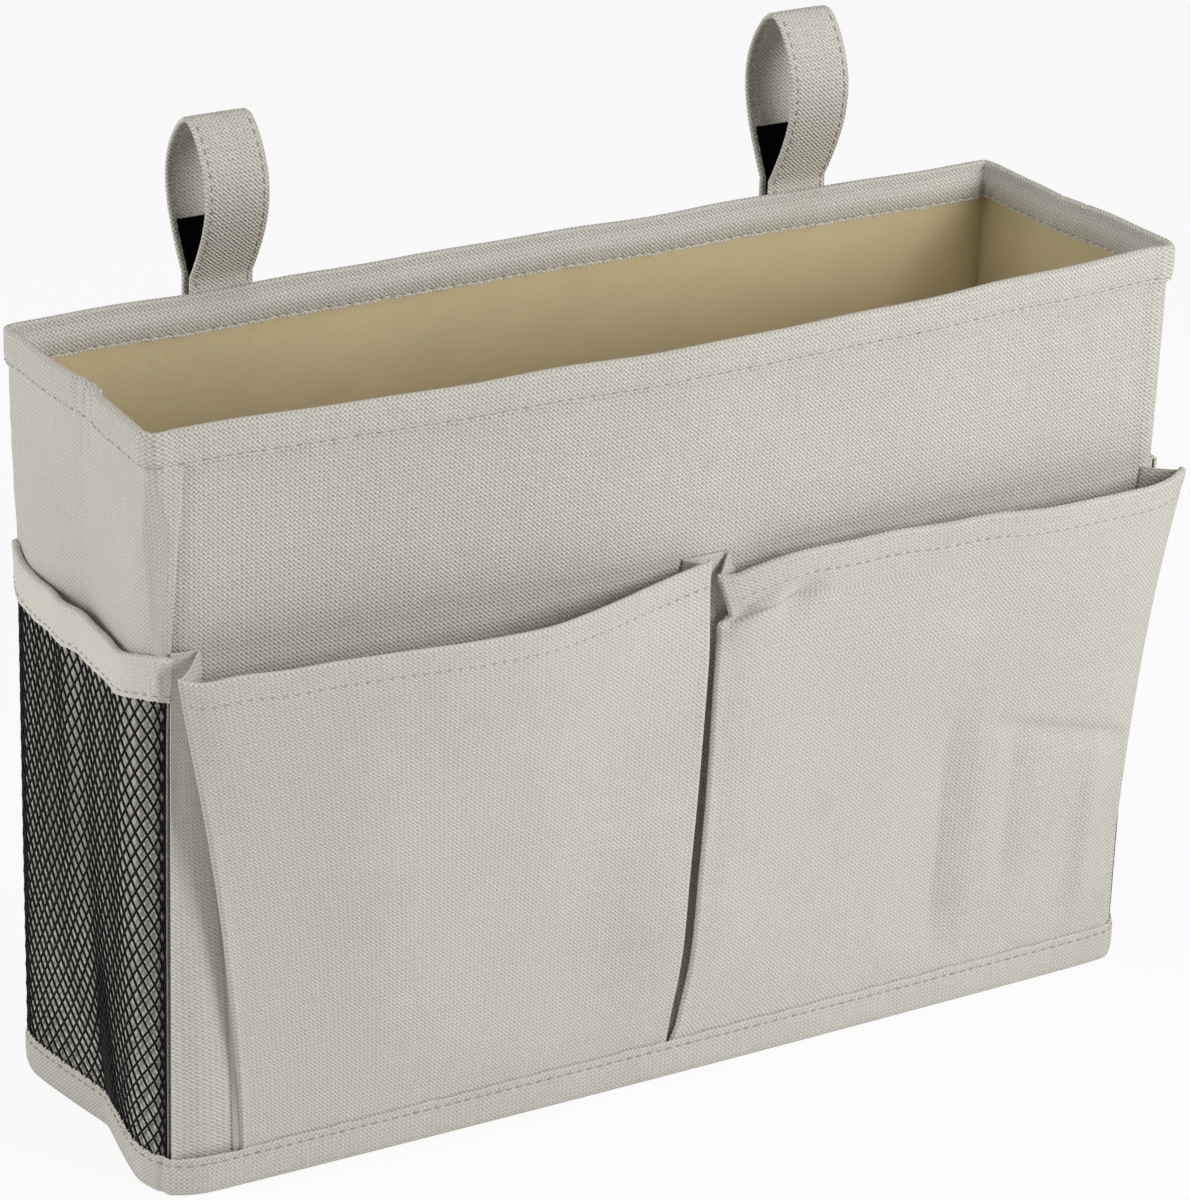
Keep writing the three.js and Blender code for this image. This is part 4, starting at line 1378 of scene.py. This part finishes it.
class CADDY_OT_front_pockets(bpy.types.Operator):
    """Two bellows pockets with pleated ends"""

    bl_idname = "caddy.front_pockets"
    bl_label = "Front pockets"

    def execute(self, context):
        size = context.scene.caddy_sizes
        box = SoftBox(size)
        finish = finishes(context.scene)["pocket_cloth"]
        for side in ("left", "right"):
            pocket = Pocket(box, size, side)
            self.front(pocket, size, finish)
            for end in ("outer", "inner"):
                self.gusset(pocket, size, finish, end)
        return {"FINISHED"}

    def front(self, pocket, size, finish):
        """A pocket's front with its turned hem."""
        cloth = mm(size.cloth)
        tall = pocket.mouth - pocket.foot
        hem = mm(size.pocket_hem)
        stitch = pocket.stitch
        rise = np.concatenate(
            [
                np.linspace(pocket.foot, stitch - 10, 84),
                np.arange(stitch - 9, stitch - 2, 0.7),
                stitch + np.array([-1.2, -0.6, 0, 0.6, 1.2, 2.5]),
                pocket.mouth - np.array([1.6, 0.8, 0.35]),
            ]
        )
        u = np.concatenate([[0, 0.004, 0.009], np.linspace(0.016, 0.984, 110), [0.991, 0.996, 1]])
        v, u = rows_and_columns((rise - pocket.foot) / tall, u)
        face = pocket.place(u, v)
        face = face - facing(face) * 0.2 * bell(face[..., 2:] - stitch, 0.7)
        normal = facing(face)
        end = np.minimum(u, 1 - u)
        edge = 0.35 * bell(end - 0.006, 0.004) - 0.6 * (1 - smooth(end, 0, 0.004))
        face = face + normal * edge[..., None]
        tuck = cloth / 2 + 0.25
        roll = []
        for bend in np.radians((35, 90, 145)):
            lift = np.array([0, 0, 0.35 + tuck * 0.5 * math.sin(bend)])
            roll.append(face[-1] + lift - normal[-1] * tuck * (1 - math.cos(bend)))
        leaf = np.flatnonzero(rise > pocket.mouth - hem)[::-1]
        grid = np.concatenate([face, np.array(roll), face[leaf] - normal[leaf] * 2 * tuck])
        piece, flat = cloth_along(f"{pocket.side}_pocket_cloth", grid, cloth, finish)
        settle(piece, "outer_cloth", f"{pocket.side}_pocket_front", f"{pocket.side}_pocket_hem", body=None)
        blend_pocket(piece)

    def gusset(self, pocket, size, finish, end):
        """A pleat from the seam on the box to the end of a pocket's front."""
        box = pocket.box
        foot_seam, mouth_seam, step, way, foot_width, mouth_width, sewn, top = GUSSETS[pocket.side, end]
        v = np.concatenate([np.linspace(0, TOP_SHARE, 46), np.linspace(TOP_SHARE + 0.01, 1, 20)])
        z = pocket.height(v)
        edge_u = 0.0 if (end == "outer") == pocket.left else 1.0
        lean = v if end == "outer" else (divider(z) - divider(9)) / (divider(167) - divider(9))
        near_top = smooth(v, TOP_SHARE, 1.0)
        seam = foot_seam + (mouth_seam - foot_seam) * lean + step * near_top
        edge = pocket.across(edge_u, v) + way * 0.5
        edge_depth = pocket.depth(edge_u, v) - 0.7
        base = box.front_rest(seam, z) + sewn * (1 if end == "outer" else 1 - near_top)
        wide = foot_width + (mouth_width - foot_width) * near_top
        reach = wide + way * seam
        out = edge_depth - box.front_rest(seam, z) - 0.9
        fold = way * (reach**2 - edge**2 - out**2) / (2 * np.maximum(reach - way * edge, 0.5))
        lies = box.front_rest(fold, z) + 0.3
        stations = []
        for t in np.linspace(0, 1, 14):
            stations.append((seam + (fold - seam) * t, lies + (base - lies) * (1 - smooth(t, 0, 0.6))))
        stations.append((fold + way * 0.3, lies + 0.3))
        for t in np.linspace(0, 1, 16):
            puff = 0.04 * wide * np.sin(np.pi * t) * smooth(v, 0.1, 0.6)
            stations.append((fold + (edge - fold) * t, lies + 0.6 + (edge_depth - lies - 0.6) * t + puff))
        x = np.stack([p[0] for p in stations], 1)
        d = np.stack([p[1] for p in stations], 1)
        share = np.clip((np.arange(x.shape[1]) - 14) / 16, 0, 1)
        tall = (z + top * v**3)[:, None]
        ends = pocket.place(edge_u, v)[:, 2:] - 0.2
        grid = np.stack([x, -box.half_depth - d, tall + (ends - tall) * share], -1)
        name = f"{pocket.side}_pocket_{end}"
        piece, _ = cloth_along(f"{name}_pleat", grid, mm(size.cloth) * PLEAT_THICKNESS, finish)
        settle(piece, "outer_cloth", f"{name}_gusset", body="body" if end == "inner" else None)
        if end == "outer":
            far = -(box.half_depth + 1.0 + edge_depth[-1]) * MM
            near = -(box.half_depth + 2.0) * MM
            lean = (far - near) / ((pocket.mouth - pocket.foot) * MM)
            start = Vector((0, near, pocket.mouth * MM))
            across = Vector((0, 1, -lean))
            gap = (Vector((0, far, pocket.mouth * MM)) - start).dot(across) / across.length_squared
            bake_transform(piece)


def blend_pocket(piece):
    """Bakes a pocket front's place into its mesh."""
    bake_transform(piece)


# Where the net's edges lie, as shares of the way round, and how far its binding stands off it.
NET_ENDS = (0.012, 0.988)
NET_TAPE_OUT = 0.85


class NetPocket:
    """The soft surface of a side net pocket, in millimetres. t runs round it from its back seam to its
    front one on the left side, and the other way on the right, and z is the height."""

    def __init__(self, box, size, side):
        self.box = box
        self.left = side == "left"
        self.mouth = mm(size.net_mouth)
        self.foot = mm(size.binding) - 1.0
        self.bow = mm(size.net_bow)

    def way(self, t, z):
        """The way round the box at a share of the net's own."""
        seam = self.box.seam(z) + 0.4
        if self.left:
            start, end = self.box.on_back(-seam) - self.box.girth, self.box.on_front(-seam)
        else:
            start, end = self.box.on_front(self.box.half_width + RIGHT_TURN - 1), self.box.on_back(seam)
        return start + (end - start) * t

    def place(self, t, z, out=0.0):
        """Points at a distance out of the net."""
        t, z, out = np.broadcast_arrays(t, z, out)
        s = self.way(t, z)
        x, y, nx, ny = self.box.plain(s)
        v = np.clip((z - self.foot) / (self.mouth - self.foot), 0, 1)
        lies = self.box.slack(s, z)
        middle = np.clip(1 - np.abs((y + 2) / 46) ** 2.2, 0, 1)
        wave = 0.5 * np.sin(y / 6 + 0.5) + 0.35 * np.sin(y / 2.9)
        stands = (self.bow + wave) * middle * v**0.7 + lies * (1 - v) ** 1.2
        side = smooth(self.box.half_depth - np.abs(y), 2, 18)
        d = out + 1.0 + lies + (stands - lies) * side
        front = smooth(-y, 5, 44) * (2.6 if self.left else 3.4)
        sag = (1.6 * middle * side - 2.2 * (1 - side) + 3.0 * smooth(y, -10, 45) + front) * v**2
        return np.stack([*self.box.trimmed(x + nx * d, y + ny * d, z, out + 1.0), z - sag], -1)


class CADDY_OT_net_pockets(bpy.types.Operator):
    """Diamond net pockets and their binding, on both sides"""

    bl_idname = "caddy.net_pockets"
    bl_label = "Net pockets"

    def execute(self, context):
        size = context.scene.caddy_sizes
        box = SoftBox(size)
        made = finishes(context.scene)
        for side in ("left", "right"):
            pocket = NetPocket(box, size, side)
            self.net(pocket, size, side, made["net_yarn"])
            self.binding(pocket, size, side, made["trim_cloth"])
        return {"FINISHED"}

    def net(self, pocket, size, side, finish):
        """Diamonds of net, with a strand along each end."""
        top = pocket.mouth - 2.5
        wide = float(pocket.way(1.0, 80.0) - pocket.way(0.0, 80.0))
        columns = round(wide / mm(size.net_cell_width))
        rows = 2 * round((top - pocket.foot) / mm(size.net_cell_height))
        number = np.zeros((rows + 1, columns + 1), int)
        points, edges = [], []
        for row in range(rows + 1):
            v = row / rows
            for column in range(columns + 1):
                share = (column + 0.5 * (row % 2)) / (columns + 0.5)
                t = NET_ENDS[0] + (NET_ENDS[1] - NET_ENDS[0]) * share
                pull = (t - 0.58) * bell(t - 0.58, 0.2) * bell(v, 0.22)
                number[row, column] = len(points)
                points.append(pocket.place(t - 0.75 * pull, pocket.foot + (top - pocket.foot) * v))
        for row in range(rows):
            for column in range(columns + 1):
                edges.append((number[row, column], number[row + 1, column]))
                beside = column + 1 if row % 2 else column - 1
                if 0 <= beside <= columns:
                    edges.append((number[row, column], number[row + 1, beside]))
        for t in NET_ENDS:
            first = len(points)
            points.extend(pocket.place(t, z) for z in np.linspace(pocket.foot, top, rows + 1))
            edges.extend((k, k + 1) for k in range(first, len(points) - 1))
        mesh = bpy.data.meshes.new("lattice")
        mesh.from_pydata((np.array(points) * MM).tolist(), [(int(a), int(b)) for a, b in edges], [])
        values = {"Strand": size.net_strand / 2, "Knot": size.net_strand * 0.62}
        piece = net_recipe(finish).run(f"{side}_net_mesh", mesh, values)
        settle(piece, "net_cord", f"{side}_net")
        flat = (wide * MM, (top - pocket.foot) * MM)

    def binding(self, pocket, size, side, finish):
        """The tape folded over the net's mouth."""
        foot = pocket.mouth - mm(size.net_binding)
        upper = np.linspace(3.2, mm(size.net_binding) - 0.6, 6)
        up = foot + np.concatenate([[0, 0.5, 1.0, NET_STITCH, 2.2], upper])
        t = np.linspace(0, 1, 110)
        turn = t * 0.25
        uneven = 0.4 * ripple(turn, RIM_WAVES)
        rows = []
        for z in up:
            dip = 0.2 * bell(z - foot - NET_STITCH, 0.6)
            pucker = 0.2 * ripple(turn, PUCKER_WAVES) * bell(z - foot - NET_STITCH, 2.5)
            rows.append(pocket.place(t, z + uneven, NET_TAPE_OUT - dip + pucker))
        for bend in np.radians((30, 90, 150)):
            z = pocket.mouth - 0.6 + 0.6 * math.sin(bend)
            rows.append(pocket.place(t, z, NET_TAPE_OUT * math.cos(bend)))
        for z in up[::-1]:
            rows.append(pocket.place(t, z + uneven, -0.55))
        piece, flat = cloth_along(f"{side}_net_tape", np.array(rows), mm(size.cloth), finish)
        settle(piece, "outer_cloth", f"{side}_net_binding")


# A strap's foot and the free end of its flap below the rim, and the place above it where the leaves part.
STRAP_FOOT = 42.0
STRAP_TAIL = 30.0
STRAP_JOIN = 4.0
# Patches: heights of the hook tape, length of the loop tape, what they are narrower than the strap, how far
# they stand off it, and their thickness.
HOOK_HEIGHTS = (203.5, 249.5)
LOOP_LENGTH = 24
PATCH_MARGIN = 3
PATCH_OUT = 0.9
PATCH_THICKNESS = 0.55


class Strap:
    """The side profile of a hanging strap, in millimetres across the depth and upwards."""

    def __init__(self, box, size, side):
        self.half = mm(size.strap_thickness) / 2
        lean = mm(size.strap_lean) / 2
        self.top = box.height + mm(size.strap_rise) - self.half + (lean if side == "right" else -lean)
        self.join = box.height + STRAP_JOIN
        self.belly = mm(size.strap_belly)
        self.foot_y = box.half_depth + 0.3 + self.half
        self.leaf_y = box.half_depth + 1.4 + self.half
        self.flap_y = self.leaf_y + 2 * (self.half + 1.5) + 0.3
        self.fold_y = (self.leaf_y + self.flap_y) / 2
        self.foot = box.height - STRAP_FOOT
        self.tail = box.height - STRAP_TAIL
        self.tuck = box.height - mm(size.hem) - 0.3

    def rise(self, leaf_y, way):
        """One half of the loop, from where the leaves part to the fold at its top."""
        f = np.linspace(0, 1, 30)
        end = self.fold_y + way * 1.8
        y = leaf_y + (end - leaf_y) * f + way * self.belly * np.abs(np.sin(np.pi * f**1.25)) ** 0.75
        z = self.join + (self.top - self.join) * f
        tip = [(self.fold_y + way * 1.0, self.top + 0.12), (self.fold_y + way * 0.1, self.top + 0.15)]
        return np.concatenate([np.stack([y, z], -1), tip])

    def leaf(self):
        """The sewn leaf, from its foot to the fold."""
        up = np.linspace(self.foot, self.join, 24)[:-1]
        y = self.foot_y + (self.leaf_y - self.foot_y) * smooth(up, self.tuck - 7, self.tuck)
        return np.concatenate([np.stack([y, up], -1), self.rise(self.leaf_y, -1)])

    def flap(self):
        """The free leaf, from its end to the fold."""
        up = np.linspace(self.tail, self.join, 18)[:-1]
        y = np.full_like(up, self.flap_y)
        return np.concatenate([np.stack([y, up], -1), self.rise(self.flap_y, 1)])


def bend_flap(piece, strap):
    """Bakes a flap's place into its mesh."""
    fold = Vector((0, strap.fold_y * MM, (strap.top + 0.5) * MM))
    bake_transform(piece)


def strap_side(line):
    """Directions across a strap's profile, to its front."""
    step = np.gradient(line, axis=0)
    step /= np.linalg.norm(step, axis=1, keepdims=True)
    return np.stack([-step[:, 1], step[:, 0]], -1)


def strap_points(x, yz):
    """Points of a strap, from places across it and its profile at each."""
    return np.concatenate([np.broadcast_to(x, yz.shape[:2])[..., None], yz], -1)


# Most bristles on a square metre of tape, and for each tape their least spacing, foot radius and height in
# metres and the seed of their places.
PILE_DENSITY = 900000.0
PILES = {"hook": (0.0011, 0.00022, 0.0012, 7), "loop": (0.0007, 0.0002, 0.0009, 11)}


class CADDY_OT_straps(bpy.types.Operator):
    """Hanging straps with their hook and loop patches"""

    bl_idname = "caddy.straps"
    bl_label = "Hanging straps"

    def execute(self, context):
        size = context.scene.caddy_sizes
        made = finishes(context.scene)
        for side, sign in SIDES:
            strap = Strap(SoftBox(size), size, side)
            leaf, flap = strap.leaf(), strap.flap()
            x = sign * mm(size.strap_spread) / 2
            wide = mm(size.strap_width)
            for part, line, body in (("leaf", leaf, "body"), ("flap", flap, None)):
                piece = self.strip(f"{side}_{part}_cloth", line, x, wide, strap.half, made["strap_cloth"])
                settle(piece, "outer_cloth", f"{side}_strap_{part}", body=body)
                if not body:
                    bend_flap(piece, strap)
            off = strap.half + PATCH_OUT
            loop = (strap.join - LOOP_LENGTH, strap.join)
            narrow = wide - PATCH_MARGIN
            self.patch(side, "loop", leaf, x, narrow, -off, loop, made, "body")
            self.patch(side, "hook", flap, x, narrow, off, HOOK_HEIGHTS, made, f"{side}_flap")
        return {"FINISHED"}

    def strip(self, name, line, x, wide, half, finish):
        """A doubled strap with soft edges."""
        side = strap_side(line)
        across = np.concatenate([[0, 0.12, 0.4, 0.9, 1.5, 2.1], np.linspace(3, wide / 2, 4)])
        across = np.concatenate([across, wide - across[-2::-1]])
        edge = np.minimum(across, wide - across)
        round_ = np.sqrt(np.clip(1 - (1 - np.clip(edge / 0.9, 0, 1)) ** 2, 0.06, 1))
        dip = 0.16 * bell(edge - STRAP_STITCH, 0.5)
        thick = half * round_ - dip
        run = running(np.linalg.norm(np.diff(line, axis=0), axis=1))
        step = side[:, None] * thick[None, :, None]
        place = x - wide / 2 + across
        outer, inner = (strap_points(place, line[:, None] + way * step) for way in (1, -1))
        uv = np.stack(np.meshgrid(across, run), -1)
        return cloth_object(name, outer, inner, uv, finish)

    def patch(self, side, kind, line, x, wide, off, heights, made, body):
        """A backing tape and the pile on it."""
        low, high = heights
        inside = (line[:, 1] >= low - 1.5) & (line[:, 1] <= high + 1.5)
        inside[np.argmax(line[:, 1]) :] = False
        kept = line[inside]
        z = np.linspace(low, high, 24)
        kept = np.stack([np.interp(z, kept[:, 1], kept[:, 0]), z], -1)
        normal = strap_side(kept)
        way = 1 if off > 0 else -1
        across = np.linspace(-wide / 2, wide / 2, 14)
        shape = (len(z), len(across), 2)
        inner, outer = (
            strap_points(x + across, np.broadcast_to((kept + normal * offset)[:, None], shape))
            for offset in (off - way * PATCH_THICKNESS, off)
        )
        name = f"{side}_strap_{kind}_patch"
        finish = made[f"{kind}_pile"]
        uv = np.stack(np.meshgrid(across, z), -1)
        tape = cloth_object(f"{side}_{kind}_tape", outer, inner, uv, finish)
        settle(tape, f"{kind}_tape", name, body=body)
        wide * MM
        (high - low) * MM
        mesh = bpy.data.meshes.new("pile")
        faces = quads(np.arange(outer.size // 3).reshape(outer.shape[:2]))[:, ::way]
        mesh.from_pydata((outer.reshape(-1, 3) * MM).tolist(), [], faces.tolist())
        spacing, bristle, tall, seed = PILES[kind]
        values = {"Spacing": spacing, "Bristle": bristle, "Height": tall, "Seed": seed}
        values["Density"] = PILE_DENSITY
        pile = pile_recipe(finish).run(f"{side}_{kind}_pile", mesh, values)
        settle(pile, f"{kind}_tape", body=body)


# How deep the thread of the hem and the binding is sunk into the cloth.
SUNK = 0.12


class CADDY_OT_stitching(bpy.types.Operator):
    """Rows of thread along the hems, bindings and straps"""

    bl_idname = "caddy.stitching"
    bl_label = "Stitching"

    def execute(self, context):
        size = context.scene.caddy_sizes
        box = SoftBox(size)
        cloth = mm(size.cloth)
        s = np.linspace(0, box.girth, 900, endpoint=False)
        hem = box.height - mm(size.hem) + HEM_STITCH
        over = binding_out(box, s) + cloth + BINDING_FULL * math.sin(math.pi * BINDING_STITCH) - SUNK
        rings = [
            box.place(s, hem, 0.5 + cloth - SUNK),
            box.place(s, hem, -hem_inside(box, s) - cloth / 2 + SUNK),
            box.place(s, BINDING_STITCH * mm(size.binding), over),
        ]
        lines = []
        for side in ("left", "right"):
            net = NetPocket(box, size, side)
            t = np.linspace(0.01, 0.99, 160)
            z = net.mouth - mm(size.net_binding) + NET_STITCH
            lines.append(net.place(t, z, NET_TAPE_OUT + cloth / 2 - 0.1))
        straps = {side: Strap(box, size, side) for side in ("left", "right")}
        for side, sign in SIDES:
            strap = straps[side]
            x = sign * mm(size.strap_spread) / 2
            lines.extend(self.strap_rows(strap.leaf(), x, size, strap.half))
            lines.append(self.box_row(strap, x, size))
        made = sew("body_stitches", rings + lines, [True] * len(rings) + [False] * len(lines), seed=3)
        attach(made, "body")
        for side, sign in SIDES:
            strap = straps[side]
            rows = self.strap_rows(strap.flap(), sign * mm(size.strap_spread) / 2, size, strap.half)
            bend_flap(sew(f"{side}_flap_stitches", rows, seed=5), strap)
            pocket = Pocket(box, size, side)
            v = (pocket.stitch - pocket.foot) / (pocket.mouth - pocket.foot)
            u = np.linspace(0.012, 0.988, 260)
            band = np.stack([pocket.place(u, v + d) for d in (-0.004, 0, 0.004)])
            row = band[1] + facing(band)[1] * (cloth / 2 - 0.08)
            blend_pocket(sew(f"{side}_pocket_stitches", [row], seed=9))
        return {"FINISHED"}

    def strap_rows(self, line, x, size, half):
        """Two rows on each face of a strap."""
        side = strap_side(line)
        inset = mm(size.strap_width) / 2 - STRAP_STITCH
        rows = []
        for way in (1, -1):
            for edge in (-inset, inset):
                yz = (line + way * side * (half - 0.05))[1:-3]
                rows.append(np.concatenate([np.full((len(yz), 1), x + edge), yz], 1))
        return rows

    def box_row(self, strap, x, size):
        """The square of stitches that holds a strap's foot."""
        wide = mm(size.strap_width) / 2 - STRAP_STITCH
        low, high = strap.foot + 2, strap.foot + 2 + 2 * wide
        y = strap.foot_y + strap.half + 0.05
        return np.array([(x - wide, y, low), (x + wide, y, low), (x + wide, y, high), (x - wide, y, high)])


class CADDY_PT_panel(bpy.types.Panel):
    """Sizes, colours and pieces of the caddy"""

    bl_idname = "CADDY_PT_panel"
    bl_label = "Bedside caddy"
    bl_space_type = "VIEW_3D"
    bl_region_type = "UI"
    bl_category = "Caddy"

    def draw(self, context):
        for group in (context.scene.caddy_sizes, context.scene.caddy_colours, context.scene.caddy_stage):
            box = self.layout.box()
            for name in group.__annotations__:
                box.prop(group, name)
        for operator in OPERATORS:
            self.layout.operator(operator.bl_idname)


GROUPS = {"caddy_sizes": CaddySizes, "caddy_colours": CaddyColours, "caddy_stage": CaddyStage}
OPERATORS = (
    CADDY_OT_stage,
    CADDY_OT_outer_panels,
    CADDY_OT_lining,
    CADDY_OT_edge_tapes,
    CADDY_OT_front_pockets,
    CADDY_OT_net_pockets,
    CADDY_OT_straps,
    CADDY_OT_stitching,
)


def register():
    """Makes Blender know the properties, operators and panel."""
    for name, group in GROUPS.items():
        bpy.utils.register_class(group)
        setattr(bpy.types.Scene, name, PointerProperty(type=group))
    for operator in OPERATORS:
        bpy.utils.register_class(operator)
    bpy.utils.register_class(CADDY_PT_panel)


def unregister():
    """Takes them out again."""
    bpy.utils.unregister_class(CADDY_PT_panel)
    for operator in reversed(OPERATORS):
        bpy.utils.unregister_class(operator)
    for name, group in GROUPS.items():
        delattr(bpy.types.Scene, name)
        bpy.utils.unregister_class(group)


def main():
    """Builds the caddy."""
    register()
    for operator in OPERATORS:
        group, name = operator.bl_idname.split(".")
        getattr(getattr(bpy.ops, group), name)()


if __name__ == "__main__":
    main()
